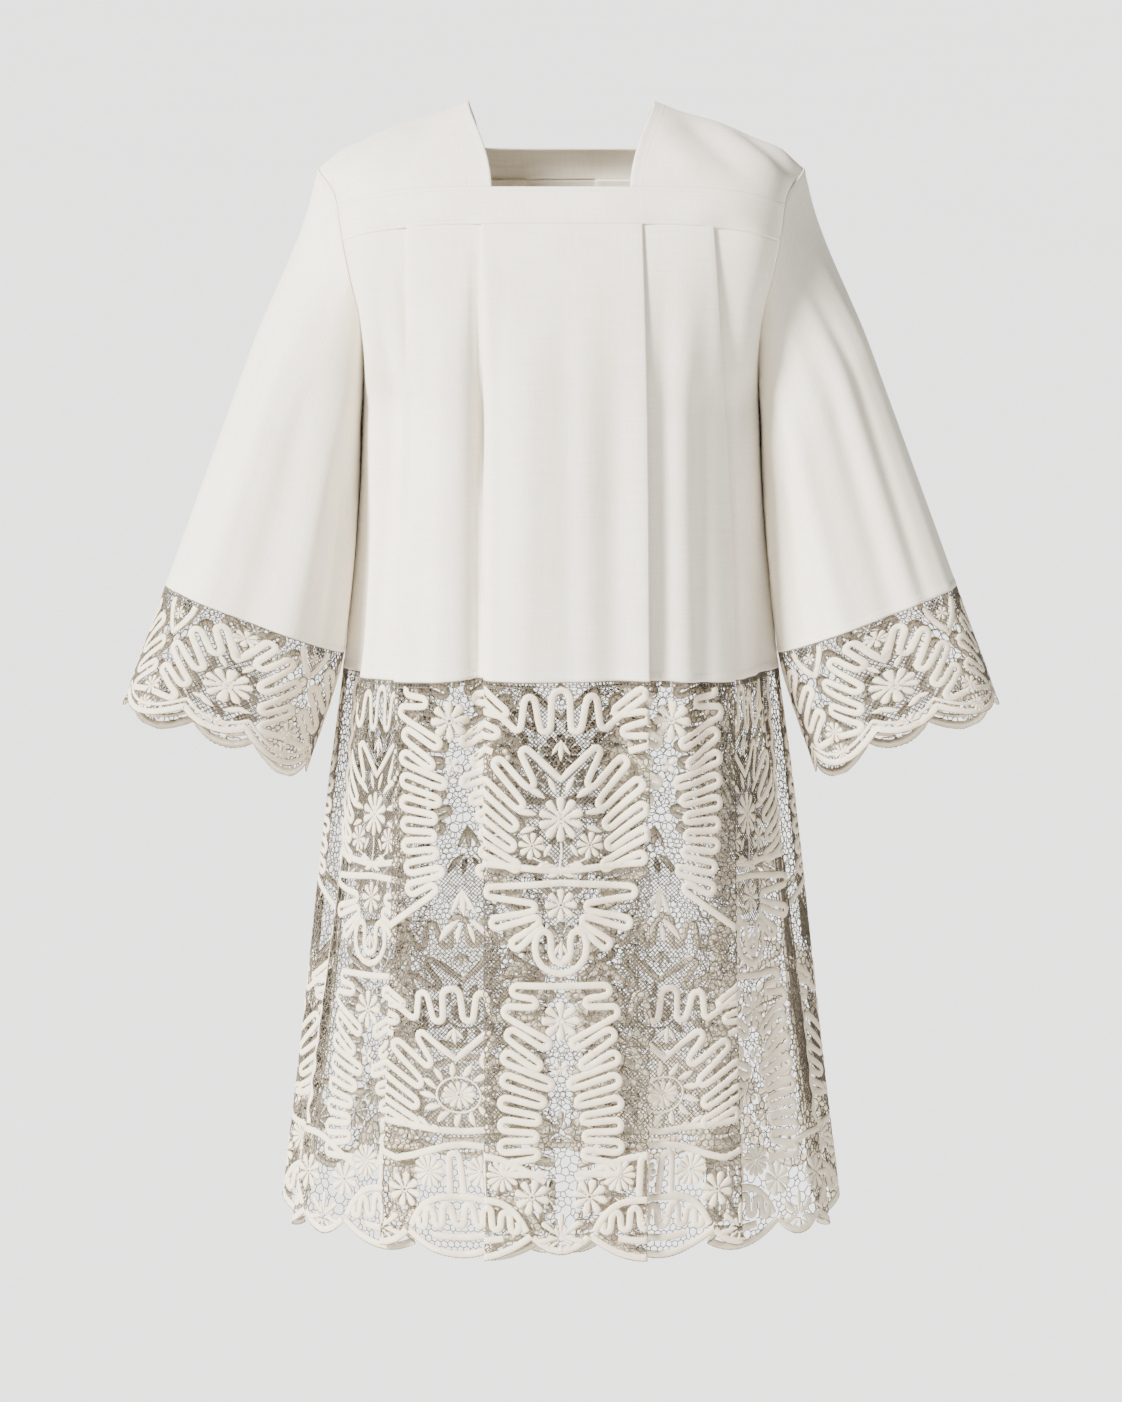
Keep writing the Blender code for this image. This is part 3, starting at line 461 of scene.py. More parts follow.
def cottonFinish():
    # plain woven cotton lawn: matt, with faint slubs along warp and weft
    look = dict(colour="e9e1d1", shade="dfd6c4", relief=0.16, threadPitch=0.0011,
                slubLength=0.050, slubWidth=0.0016, patchScale=14.0, slubHeight=1.3)
    made, tree = newFinish("cottonLawnPlainWeave")
    place = addNode(tree, "ShaderNodeUVMap", uv_map="UVMap").outputs["UV"]
    across, along = 1 / look["slubWidth"], 1 / look["slubLength"]
    slubs = []
    for scale in ((across, along, 1), (along, across, 1)):
        way = firstOut(tree, "ShaderNodeMapping", {"Vector": place, "Scale": scale})
        slubs.append(noiseAt(tree, way, 1.0, 2.0, noise_dimensions="2D"))
    both = sumOf(tree, *slubs)
    patches = noiseAt(tree, place, look["patchScale"], 3.0, noise_dimensions="2D")
    tone = stretched(tree, sumOf(tree, both, patches), 1.1, 1.9)
    weave = weaveAt(tree, place, look["threadPitch"])
    inputs = {0: both, 1: look["slubHeight"], 2: weave}
    height = firstOut(tree, "ShaderNodeMath", inputs, operation="MULTIPLY_ADD")
    paint(tree, tone, look, {"Roughness": 0.86, "IOR": 1.46, "Sheen Weight": 0.12,
                             "Sheen Roughness": 0.6, "Specular IOR Level": 0.25}, height)
    return made


def laceFinish(name, colour, shade, pitch, relief):
    # cotton lace thread: matt and slightly warm, with fine ribs both ways
    look = dict(colour=colour, shade=shade, relief=relief, patchScale=90.0)
    made, tree = newFinish(name)
    place = addNode(tree, "ShaderNodeUVMap", uv_map="UVMap").outputs["UV"]
    spot = addNode(tree, "ShaderNodeTexCoord").outputs["Object"]
    tone = stretched(tree, noiseAt(tree, spot, look["patchScale"], 3.0), 0.3, 0.7)
    paint(tree, tone, look, {"Roughness": 0.82, "IOR": 1.46, "Sheen Weight": 0.10,
                             "Sheen Roughness": 0.5, "Specular IOR Level": 0.3},
          weaveAt(tree, place, pitch))
    return made


cotton = cottonFinish()
tapeFinish = laceFinish("wovenLaceTapeCotton", "e8dac2", "dccdb2", 0.0011, 0.35)
# the threads are the same ecru cotton as the tapes; their much darker colour is painted shade, for the dark seen
# between the threads of the ground, the net and the edging
threadInPaintedShade = laceFinish("twistedLaceThreadPaintedShade", "6c6354", "5c5447", 0.0006, 0.25)
stitchFinish = laceFinish("sewingThreadCotton", "f2efe8", "e6e2d8", 0.0004, 0.3)
print("finishes made")


def newPiece(name, points, faces, finish, uvs=None):
    # a mesh object; uvs are in metres, one for each point
    mesh = bpy.data.meshes.new(name)
    mesh.from_pydata(np.asarray(points).tolist(), [], faces)
    mesh.materials.append(finish)
    if uvs is not None:
        layer = mesh.uv_layers.new(name="UVMap")
        corner = np.zeros(len(mesh.loops), int)
        mesh.loops.foreach_get("vertex_index", corner)
        layer.data.foreach_set("uv", np.asarray(uvs, np.float32)[corner].ravel())
    mesh.shade_smooth()
    piece = bpy.data.objects.new(name, mesh)
    bpy.context.collection.objects.link(piece)
    return piece


def clothWall(name, points, normals, uvs, half, closed=False):
    # a thin closed wall round a grid of points, with rounded edges; half is half its thickness
    rows, columns = points.shape[:2]
    count = rows * columns
    half = np.broadcast_to(half, (rows, columns))[..., None]
    a = np.arange(count).reshape(rows, columns)
    beside = np.roll(a, -1, axis=1) if closed else a[:, 1:]
    own = a if closed else a[:, :-1]
    quads = np.stack([own[:-1], own[1:], beside[1:], beside[:-1]], axis=-1).reshape(-1, 4)
    outer, inner = ((points + normals * way).reshape(-1, 3) for way in (half, -half))
    points, normals, half = points.reshape(-1, 3), normals.reshape(-1, 3), half.reshape(-1, 1)
    uvs = uvs.reshape(-1, 2)
    corner = outer[quads[len(quads) // 2]]
    facing = np.cross(corner[1] - corner[0], corner[2] - corner[0])
    if facing @ normals[quads[len(quads) // 2][0]] < 0:
        quads = quads[:, ::-1]
    faces = quads.tolist() + (quads[:, ::-1] + count).tolist()
    rims = [np.concatenate([a[0], a[1:, -1], a[-1, -2::-1], a[-2:0:-1, 0]])]
    if closed:
        rims = [a[0], a[-1]]
    sides = [quads[:, [k, (k + 1) % 4]] for k in range(4)]
    sides = set(map(tuple, np.concatenate(sides).tolist()))
    verts, places, start = [outer, inner], [uvs, uvs], 2 * count
    for rim in rims:
        ring = rim if (int(rim[0]), int(rim[1])) in sides else rim[::-1]
        before, after = np.roll(ring, 1), np.roll(ring, -1)
        outward = np.cross(points[after] - points[before], normals[ring])
        outward /= np.maximum(np.linalg.norm(outward, axis=1, keepdims=True), 1e-9)
        verts.append(points[ring] + outward * half[ring] * 0.7)
        places.append(uvs[ring])
        k = np.arange(len(ring))
        n = np.roll(k, -1)
        faces += np.stack([ring[n], ring[k], start + k, start + n], axis=-1).tolist()
        inside = [start + n, start + k, ring[k] + count, ring[n] + count]
        faces += np.stack(inside, axis=-1).tolist()
        start += len(ring)
    return newPiece(name, np.concatenate(verts), faces, cotton, np.concatenate(places))


def newTree(name, measures):
    # a geometry tree with named measures in metres and a finish
    tree = bpy.data.node_groups.new(name, "GeometryNodeTree")
    given = [(label, "Float") for label in measures]
    for label, kind in [("Geometry", "Geometry"), *given, ("Finish", "Material")]:
        tree.interface.new_socket(label, in_out="INPUT", socket_type="NodeSocket" + kind)
    tree.interface.new_socket("Geometry", in_out="OUTPUT", socket_type="NodeSocketGeometry")
    return tree, addNode(tree, "NodeGroupInput").outputs


def closeTree(tree, geometry, finish):
    # every tree ends alike: its instances made real, smooth, and in their finish
    for kind in ("RealizeInstances", "SetShadeSmooth"):
        geometry = growth(tree, kind, {"Geometry": geometry})
    inputs = {"Geometry": geometry, "Material": finish}
    geometry = growth(tree, "SetMaterial", inputs)
    addNode(tree, "NodeGroupOutput", {"Geometry": geometry})
    return tree


def storeUv(tree, geometry, uv):
    inputs = {"Geometry": geometry, "Name": "UVMap", "Value": uv}
    return growth(tree, "StoreNamedAttribute", inputs, data_type="FLOAT2", domain="CORNER")


def captured(tree, geometry, value):
    made = addNode(tree, "GeometryNodeCaptureAttribute", {"Geometry": geometry})
    made.capture_items.new("FLOAT", "value")
    tree.links.new(value, made.inputs[1])
    return made.outputs[0], made.outputs[1]


def sweepTree(name, tape):
    # sweeps lines into tapes or round threads, scaled by the attribute size, uvs in metres
    measures = ("Width", "Height", "Top Width") if tape else ("Width",)
    tree, given = newTree(name, measures)
    curve = growth(tree, "MeshToCurve", {"Mesh": given["Geometry"]})
    curve = growth(tree, "SetCurveNormal", {"Curve": curve}, mode="Z_UP")
    length = addNode(tree, "GeometryNodeSplineParameter").outputs["Length"]
    curve, along = captured(tree, curve, length)
    if tape:
        profile = growth(tree, "CurvePrimitiveQuadrilateral", {
            "Height": given["Height"], "Bottom Width": given["Top Width"],
            "Top Width": given["Width"], "Offset": 0.0}, mode="TRAPEZOID")
    else:
        half = firstOut(tree, "ShaderNodeMath", {0: given["Width"], 1: 0.5}, operation="MULTIPLY")
        inputs = {"Resolution": 3, "Radius": half}
        profile = growth(tree, "CurvePrimitiveCircle", inputs)
    place = growth(tree, "InputPosition")
    place = addNode(tree, "ShaderNodeSeparateXYZ", {0: place}).outputs["X"]
    profile, across = captured(tree, profile, place)
    size = growth(tree, "InputNamedAttribute", {"Name": "size"}, data_type="FLOAT")
    mesh = growth(tree, "CurveToMesh", {
        "Curve": curve, "Profile Curve": profile, "Scale": size, "Fill Caps": True})
    uv = firstOut(tree, "ShaderNodeCombineXYZ", {"X": along, "Y": across})
    return closeTree(tree, storeUv(tree, mesh, uv), given["Finish"])


def stitchTree():
    # small stitches end to end along lines on the cloth; the attribute outward is its normal
    tree, given = newTree("stitchesAlongLines", ("Pitch", "Length", "Width"))
    curve = growth(tree, "MeshToCurve", {"Mesh": given["Geometry"]})
    inputs = {"Curve": curve, "Length": given["Pitch"]}
    curve = growth(tree, "ResampleCurve", inputs, mode="LENGTH")
    inputs = {"Segments": 4, "Rings": 3, "Radius": 0.5}
    stitch = addNode(tree, "GeometryNodeMeshUVSphere", inputs)
    inputs = {0: stitch.outputs["UV Map"], 1: (0.002, 0.002, 0.0)}
    uv = firstOut(tree, "ShaderNodeVectorMath", inputs, operation="MULTIPLY")
    body = storeUv(tree, stitch.outputs[0], uv)
    inputs = {"Name": "outward"}
    outward = growth(tree, "InputNamedAttribute", inputs, data_type="FLOAT_VECTOR")
    tangent = growth(tree, "InputTangent")
    inputs = {"Primary Axis": tangent, "Secondary Axis": outward}
    turn = firstOut(tree, "FunctionNodeAxesToRotation", inputs,
                    primary_axis="Z", secondary_axis="X")
    inputs = {"X": given["Width"], "Y": given["Width"], "Z": given["Length"]}
    scale = firstOut(tree, "ShaderNodeCombineXYZ", inputs)
    made = growth(tree, "InstanceOnPoints", {
        "Points": curve, "Instance": body, "Rotation": turn, "Scale": scale})
    return closeTree(tree, made, given["Finish"])


def grown(name, lines, tree, values, sizes=None, outward=None):
    # one object from lines of points: the tree is run once and its result kept as a mesh
    points = np.concatenate(lines)
    breaks = np.cumsum([len(line) for line in lines])
    starts = np.delete(np.arange(len(points) - 1), breaks[:-1] - 1)
    ends = np.column_stack([starts, starts + 1])
    mesh = bpy.data.meshes.new(name)
    mesh.vertices.add(len(points))
    mesh.vertices.foreach_set("co", points.astype(np.float32).ravel())
    mesh.edges.add(len(starts))
    mesh.edges.foreach_set("vertices", ends.astype(np.int32).ravel())
    size = mesh.attributes.new("size", "FLOAT", "POINT")
    sizes = np.ones(len(points)) if sizes is None else np.concatenate(sizes)
    size.data.foreach_set("value", sizes)
    if outward is not None:
        normal = mesh.attributes.new("outward", "FLOAT_VECTOR", "POINT")
        normal.data.foreach_set("vector", np.concatenate(outward).ravel())
    piece = bpy.data.objects.new(name, mesh)
    bpy.context.collection.objects.link(piece)
    modifier = piece.modifiers.new("growth", "NODES")
    modifier.node_group = tree
    for socket in tree.interface.items_tree:
        if socket.in_out == "INPUT" and socket.name in values:
            modifier[socket.identifier] = values[socket.name]
    evaluated = piece.evaluated_get(bpy.context.evaluated_depsgraph_get())
    piece.data = bpy.data.meshes.new_from_object(evaluated)
    piece.modifiers.clear()
    piece.data.name = name
    for spare in ("size", "outward"):
        if spare in piece.data.attributes:
            piece.data.attributes.remove(piece.data.attributes[spare])
    return piece


def wrap(piece, drape):
    # lays a flat mesh on hanging cloth: x across and y down in metres, z above the cloth
    flat = np.zeros(len(piece.data.vertices) * 3, np.float32)
    piece.data.vertices.foreach_get("co", flat)
    x, y, lift = flat.reshape(-1, 3).astype(float).T
    row = np.clip((y - drape["top"]) / drape["step"], 0, len(drape["flat"]) - 1.001)
    first = row.astype(int)
    share = row - first
    spots, leans = [], []
    for level in (0, 1):
        column = np.zeros(len(x))
        for number in np.unique(first):
            chosen = first == number
            places = drape["flat"][number + level]
            column[chosen] = np.interp(x[chosen], places, np.arange(len(places)))
        column = np.clip(column, 0, drape["flat"].shape[1] - 1.001)
        left = column.astype(int)
        part = (column - left)[:, None]
        for store, source in ((spots, drape["points"]), (leans, drape["normals"])):
            near, far = source[first + level, left], source[first + level, left + 1]
            store.append(near * (1 - part) + far * part)
    share = share[:, None]
    place = spots[0] * (1 - share) + spots[1] * share
    lean = normalised(leans[0] * (1 - share) + leans[1] * share)
    points = place + lean * lift[:, None]
    piece.data.vertices.foreach_set("co", points.astype(np.float32).ravel())
    piece.data.update()


tapeTree = sweepTree("flatTapeAlongLines", True)
threadTree = sweepTree("roundThreadAlongLines", False)
stitchLayer = stitchTree()
print("trees made")


def plainPoints(z, shares, front):
    # the unpleated outline at shares of the way from the middle (0) to its ends (-1 and 1)
    length, x, y, *_, droop = outlineAt(z, front)
    at = np.minimum(np.abs(shares), 1.0) * length[-1]
    side = np.where(shares < 0, -1.0, 1.0)
    px, py, fall = (np.interp(at, length, values) for values in (x, y, droop))
    return np.column_stack([px * side, -py if front else py, z - fall])


def neckShare(z, corner, front):
    length, x = outlineAt(z, front)[:2]
    return float(np.interp(corner, x, length) / length[-1])


def shoulderRow(across, along, right):
    # points over the shoulder: across from the neck (0) to the armhole (1), along from the
    # front band (-1) over the ridge (0) to the back band (1)
    look = dict(below=0.004, stopShort=0.0006)
    front = along < 0
    top = hang["frontBandTop"] if front else hang["backBandTop"]
    ridgeX = ridgeTable["x"][0] + (ridgeTable["x"][-1] - ridgeTable["x"][0]) * across
    start = np.column_stack([ridgeX, 0 * ridgeX, curveOf(ridgeTable, "z", ridgeX, "x")])
    fromShare = neckShare(top, hang["frontNeck"] if front else hang["backNeck"], front)
    share = fromShare + (1 - fromShare) * across
    end = plainPoints(top, share, front)
    below = plainPoints(top - look["below"], share, front)
    reach = np.linalg.norm(end - start, axis=1, keepdims=True)
    leave = np.array([[0.0, -1.0 if front else 1.0, -hang["ridgeFall"]]]) * reach
    arrive = normalised(below - end) * reach
    t = np.minimum(abs(along), 1.0 - look["stopShort"] / reach)
    point = start * (1 + 2 * t) * (1 - t) ** 2 + end * t * t * (3 - 2 * t)
    point = point + t * (1 - t) * (leave * (1 - t) - arrive * t)
    return point * np.array([-1.0 if right else 1.0, 1.0, 1.0])


def lengthsAlong(points, axis):
    steps = np.linalg.norm(np.diff(points, axis=axis), axis=2)
    zero = np.zeros((points.shape[0], 1) if axis == 1 else (1, points.shape[1]))
    return np.concatenate([zero, np.cumsum(steps, axis=axis)], axis=axis)


def flatUv(points):
    # metres across and down, measured on the cloth itself
    return np.stack([lengthsAlong(points, 1), lengthsAlong(points, 0)], axis=-1)


def edgeFold(distance, width, extra):
    # extra half thickness where cloth is folded under, within width of an edge
    return extra * (1 - fade((distance / width - 0.8) / 0.2))


def pleatDepth(z, shares, front):
    # how far the showing layer lies behind the outline at one height
    lengths, x = outlineAt(z, front)[:2]
    layer = 4 * float(curveOf(foldTable, "turnRadius", z))
    depths = []
    for share in shares:
        side = "right" if share < 0 else "left"
        box, outer = (np.interp(curveOf(pleatTables[front], side + pleat, z), x, lengths)
                      for pleat in ("Box", "Outer"))
        along = abs(share) * lengths[-1]
        past = (along - outer) / (hang["pleatFade"] * (lengths[-1] - outer))
        behind = 2 * layer * (1 - fade(past))
        depths.append(0.0 if along < box else layer if along < outer else behind)
    return np.convolve(np.pad(depths, 3, mode="edge"), np.ones(7) / 7, mode="valid")


seams = []  # every sewn line: its points on the cloth and the cloth's normals there


def sew(points, normals, above):
    seams.append((points + normals * above, normals))


def clothArea(points):
    # the area of a grid of points, in square metres
    a, b = points[1:, 1:] - points[:-1, :-1], points[1:, :-1] - points[:-1, 1:]
    return float(np.linalg.norm(np.cross(a, b), axis=2).sum() / 2)


def asCotton(piece, node, points, held, restsOn):
    # the flat size is the longest width and length of the cloth, and area what shows of it
    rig.ride(piece, "root")
    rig.replaces(piece, node)
    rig.slot(piece, "cotton")
    lengths = [float(lengthsAlong(points, axis).max()) for axis in (1, 0)]
    area = min(clothArea(points), lengths[0] * lengths[1])
    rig.sheet(piece, flat=lengths, area=area, held=held, rests_on=restsOn, with_pieces=())
    across, down = (round(1000 * length) for length in lengths)
    print(piece.name, "is cut", across, "by", down, "mm,", round(area, 4), "square metres")


print("cloth tools made")


def makeBand(name, node, top, bottom, front):
    # a straight band from armhole to armhole, with its long edges folded under
    look = dict(half=0.00055, fold=0.0034, foldHalf=0.0003, pucker=0.0005, puckerLength=0.021,
                puckers=(1.0, 1.63, 2.9), shift=1.7, edgeFade=0.01, endFade=0.06,
                sinkLength=0.016, sinkLess=0.0006)
    middles = np.linspace(top - 0.006, bottom + 0.006, 6)
    lowest = bottom + np.array([0.004, 0.0023, 0.0006])
    levels = np.concatenate([top - np.array([0, 0.0017, 0.0034]), middles, lowest])
    shares = np.linspace(-1.0, 1.0, 121)
    points = np.array([plainPoints(z, shares, front) for z in levels])
    normals = normalsOf(points, np.array([0, -1.0 if front else 1.0, 0]))
    uvs = flatUv(points)
    fromTop, toBottom = (top - levels)[:, None], (levels - bottom)[:, None]
    across = uvs[..., 0] / look["puckerLength"]
    wave = sum(np.sin(across * k + look["shift"] * k * k) / k for k in look["puckers"])
    wave *= fade(fromTop / look["edgeFade"]) * fade(toBottom / look["edgeFade"])
    wave *= fade((1 - np.abs(shares)) / look["endFade"])
    points = points + normals * (wave * look["pucker"])[..., None]
    sink = np.maximum(pleatDepth(bottom, shares, front) - look["sinkLess"], 0)
    sink = sink * fade(1 - toBottom / look["sinkLength"])
    points = points - normals * sink[..., None]
    for level in (2, -3):
        sew(points[level], normals[level], look["half"] + 0.5 * look["foldHalf"])
    thick = look["half"] + edgeFold(fromTop, look["fold"], look["foldHalf"])
    thick = thick + edgeFold(toBottom, look["fold"], look["foldHalf"])
    piece = clothWall(name, points, normals, uvs, thick)
    asCotton(piece, node, points, "hung", ["shoulderRight", "shoulderLeft"])


makeBand("chestBand", "chest_band", hang["frontBandTop"], hang["frontSeam"], True)
makeBand("backYoke", "back_yoke", hang["backBandTop"], hang["backSeam"], False)

# Soft troughs over the shoulders: across and along where each starts and ends, width and depth
# in metres. They run from the neck's corners out to the armholes.
shoulderCreases = {
    True: [
        (0.12, -0.1, 0.62, -0.88, 0.012, -0.0018), (0.34, -0.02, 0.86, -0.72, 0.0125, 0.0016),
        (0.6, 0.02, 0.97, -0.4, 0.011, -0.0014), (0.15, 0.15, 0.62, 0.88, 0.012, -0.0018),
        (0.4, 0.08, 0.88, 0.7, 0.0125, 0.0016), (0.64, 0.02, 0.96, 0.42, 0.011, -0.0014),
    ],
    False: [
        (0.16, -0.06, 0.66, -0.9, 0.011, -0.0026), (0.36, 0.0, 0.88, -0.76, 0.0115, 0.0022),
        (0.56, 0.02, 0.97, -0.52, 0.011, -0.0016), (0.78, 0.05, 0.99, -0.25, 0.011, 0.0012),
        (0.02, -0.3, 0.4, -0.95, 0.011, 0.0016), (0.18, 0.1, 0.6, 0.9, 0.012, -0.0022),
        (0.42, 0.04, 0.86, 0.78, 0.0125, 0.002), (0.66, 0.05, 0.97, 0.5, 0.011, -0.0018),
    ],
}


def makeShoulder(name, node, right):
    look = dict(half=0.00055, fold=0.0042, foldHalf=0.0004, acrossLength=0.145,
                alongLength=0.085, facing={True: 0.023, False: 0.010}, creaseEnd=0.3,
                creaseRest=0.25, bandFade=0.12, neckFade=0.10, stitchLift=0.0001)
    across = np.concatenate([[0, 0.012, 0.026], np.linspace(0.05, 0.97, 26), [0.985, 1.0]])
    ways = np.concatenate([[-1.0, -0.985], np.linspace(-0.95, 0.95, 37), [0.985, 1.0]])
    points = np.array([shoulderRow(across, way, right) for way in ways])
    normals = normalsOf(points, np.array([0, 0, 1.0]))
    size = np.array([look["acrossLength"], look["alongLength"]])
    place = np.stack(np.meshgrid(across * size[0], ways * size[1]), axis=-1)
    push = np.zeros(points.shape[:2])
    for *ends, wide, deep in shoulderCreases[right]:
        start, end = np.array(ends[:2]) * size, np.array(ends[2:]) * size
        run = np.clip((place - start) @ (end - start) / np.sum((end - start) ** 2), 0, 1)
        gap = np.linalg.norm(place - start - run[..., None] * (end - start), axis=-1)
        taper = fade(run / look["creaseEnd"]) * fade((1 - run) / look["creaseEnd"])
        push += deep * np.exp(-((gap / wide) ** 2)) * (taper + look["creaseRest"])
    push *= fade((1 - np.abs(ways))[:, None] / look["bandFade"])
    push *= fade((1 - across) / look["bandFade"]) * fade(across / look["neckFade"])
    points = points + normals * push[..., None]
    uvs = flatUv(points)
    thick = look["half"] + edgeFold(uvs[..., 0], look["fold"], look["foldHalf"])
    piece = clothWall(name, points, normals, uvs, thick)
    asCotton(piece, node, points, "draped", ["chestBand", "backYoke"])
    rows = np.arange(len(ways))
    for distance in (look["fold"], look["facing"][right]):
        columns = [np.interp(distance, row[:, 0], np.arange(len(across))) for row in uvs]
        whole = np.array(columns).astype(int)
        share = (np.array(columns) - whole)[:, None]
        line, lean = (source[rows, whole] * (1 - share) + source[rows, whole + 1] * share
                      for source in (points, normals))
        sew(line, lean, look["half"] + look["stitchLift"])


makeShoulder("shoulderRight", "shoulder_right", True)
makeShoulder("shoulderLeft", "shoulder_left", False)


def makeBody(name, node, seam, front):
    # the pleated cloth, ending in a narrow hem where the lace is sewn on
    look = dict(half=0.00055, hem=0.0066, hemHalf=0.00035, stitchLift=0.0001)
    bottom = hang["laceTop"] + hang["seamGap"]
    middles = np.linspace(seam - 0.007, bottom + 0.010, 36)
    lowest = bottom + np.array([0.0066, 0.0056, 0.002, 0.0])
    heights = np.concatenate([seam - np.array([0, 0.0015, 0.003]), middles, lowest])
    net = pleatedNet(heights, front, cottonSteps)
    uvs = np.stack([net["u"], np.broadcast_to(-heights[:, None], net["u"].shape)], axis=-1)
    thick = look["half"] + edgeFold(heights - bottom, look["hem"], look["hemHalf"])[:, None]
    points = net["points"].copy()
    for edge, inner in ((0, 1), (-1, -2)):
        way = normalised(points[:, inner] - points[:, edge])
        points[:, edge] += way * hang["sideGap"] / 2
    piece = clothWall(name, points, net["normals"], uvs, thick)
    asCotton(piece, node, points, "hung", ["chestBand" if front else "backYoke"])
    sew(points[-4], net["normals"][-4], look["half"] + look["stitchLift"])


makeBody("bodyFront", "body_front", hang["frontSeam"], True)
makeBody("bodyBack", "body_back", hang["backSeam"], False)
print("body made")

# Soft creases along the sleeves: the share of the way round at the top and at the cuff, the
# width as a share, the depth in metres, and where along the sleeve they start and end.
sleeveCreases = {
    True: [
        (0.08, 0.1, 0.02, -0.0022, 0.02, 1.2), (0.16, 0.17, 0.026, 0.0024, 0.1, 1.3),
        (0.24, 0.25, 0.022, -0.0026, 0.18, 1.2), (0.31, 0.31, 0.026, 0.003, 0.15, 1.32),
        (0.38, 0.39, 0.018, -0.003, 0.25, 1.15), (0.44, 0.45, 0.02, 0.0022, 0.3, 1.32),
        (0.58, 0.57, 0.02, -0.003, 0.2, 1.2), (0.66, 0.67, 0.022, 0.0032, 0.1, 1.3),
        (0.74, 0.75, 0.018, -0.0036, 0.15, 1.25), (0.83, 0.82, 0.022, 0.003, 0.08, 1.32),
        (0.92, 0.91, 0.018, -0.0026, 0.03, 1.1),
    ],
    False: [
        (0.07, 0.09, 0.02, 0.0026, 0.04, 1.25), (0.13, 0.15, 0.018, -0.0034, 0.08, 1.15),
        (0.205, 0.22, 0.024, -0.0046, 0.12, 1.32), (0.3, 0.29, 0.024, 0.0046, 0.1, 1.25),
        (0.37, 0.37, 0.018, -0.0036, 0.22, 1.3), (0.43, 0.44, 0.018, 0.0026, 0.28, 1.2),
        (0.57, 0.58, 0.02, 0.0028, 0.2, 1.3), (0.65, 0.64, 0.02, -0.0032, 0.12, 1.25),
        (0.73, 0.74, 0.022, 0.0032, 0.16, 1.32), (0.81, 0.8, 0.018, -0.0034, 0.06, 1.2),
        (0.9, 0.91, 0.02, 0.0024, 0.02, 1.3),
    ],
}


def sleeveColumns(names, t):
    return [float(curveOf(sleeveTable, name, t, "t")) for name in names]


def sleeveEnds(t):
    # the outermost and the innermost point of the ring at t
    outer, inner = ("outerX", "midY", "outerZ"), ("innerX", "midY", "innerZ")
    return np.array(sleeveColumns(outer, t)), np.array(sleeveColumns(inner, t))


def armholeLine():
    # the armhole on the wearer's left as points and their shares of the way round
    sides = []
    for front in (True, False):
        side = "front" if front else "back"
        level = 0.5 * (hang[side + "BandTop"] + hang[side + "Seam"])
        ways = np.linspace(0, 1, 25) * (-1 if front else 1)
        points = [shoulderRow(np.array([1.0]), way, False)[0] for way in ways]
        points += [plainPoints(z, np.array([1.0]), front)[0]
                   for z in np.linspace(level, hang["underarm"], 40)]
        points = np.array(points)
        steps = np.linalg.norm(np.diff(points, axis=0), axis=1)
        run = np.concatenate([[0], np.cumsum(steps)])
        sides.append((points, run / run[-1] / 2))
    (frontPoints, frontShares), (backPoints, backShares) = sides
    points = np.concatenate([frontPoints, backPoints[-2::-1]])
    return points, np.concatenate([frontShares, 1 - backShares[-2::-1]])


armholePoints, armholeShares = armholeLine()

# How far the underside of a sleeve moves in, to lie against the body, at places along it.
sleeveTuck = (
    [0.0, 0.06, 0.12, 0.18, 0.24, 0.30, 0.36, 0.42],
    [0.0, 0.0028, 0.0051, 0.0066, 0.0058, 0.0034, 0.0009, 0.0],
)


def sleeveNet(levels, shares, right):
    # rings of points down one sleeve; shares may run from 0 to 1 to close the ring
    levels = np.array(levels)
    start = np.column_stack([np.interp(shares, armholeShares, armholePoints[:, axis])
                             for axis in range(3)])
    angle = 2 * pi * shares
    power = 2 / hang["sleeveSquareness"]
    across, forward = (np.sign(way) * np.abs(way) ** power
                       for way in (np.cos(angle), np.sin(angle)))
    inward = 0.5 * (1 - np.cos(angle))
    origin = 0.5 * sum(sleeveEnds(0.0))
    rows = []
    for t in levels:
        outer, inner = sleeveEnds(t)
        halfDepth, lift = sleeveColumns(("halfDepth", "lift"), t)
        depth = halfDepth * forward
        middle = 0.5 * (outer + inner)
        ring = middle + 0.5 * (outer - inner) * across[:, None]
        ring = ring + np.column_stack([0 * depth, -depth, lift * depth])
        blend = fade(t / hang["sleeveBlend"])
        point = (start + middle - origin) * (1 - blend) + ring * blend
        off = hang["sleeveOff"] + (hang["underarmOff"] - hang["sleeveOff"]) * inward
        point[:, 0] += off - np.interp(t, *sleeveTuck) * inward
        rows.append(point * np.array([-1.0 if right else 1.0, 1.0, 1.0]))
    points = np.array(rows)
    around = np.gradient(points, axis=1)
    around[:, 0] = around[:, -1] = points[:, 1] - points[:, -2]
    normals = normalised(np.cross(np.gradient(points, axis=0), around))
    lean = np.sum(normals * (points - points.mean(axis=1, keepdims=True)), axis=2)
    if np.median(lean) < 0:
        normals = -normals
    push = np.zeros(points.shape[:2])
    for top, foot, wide, deep, fromT, toT in sleeveCreases[right]:
        down = (levels - fromT) / (toT - fromT)
        middle = top + (foot - top) * np.clip(down, 0, 1)
        strength = creaseStrength(down, comes=0.3, ends=1.12, goes=0.4)[:, None]
        bell = np.exp(-(((shares - middle[:, None]) / wide) ** 2))
        push += hang["creaseGain"] * deep * strength * bell
    push *= fade(levels / hang["creaseFade"])[:, None]
    return points + normals * push[..., None], normals


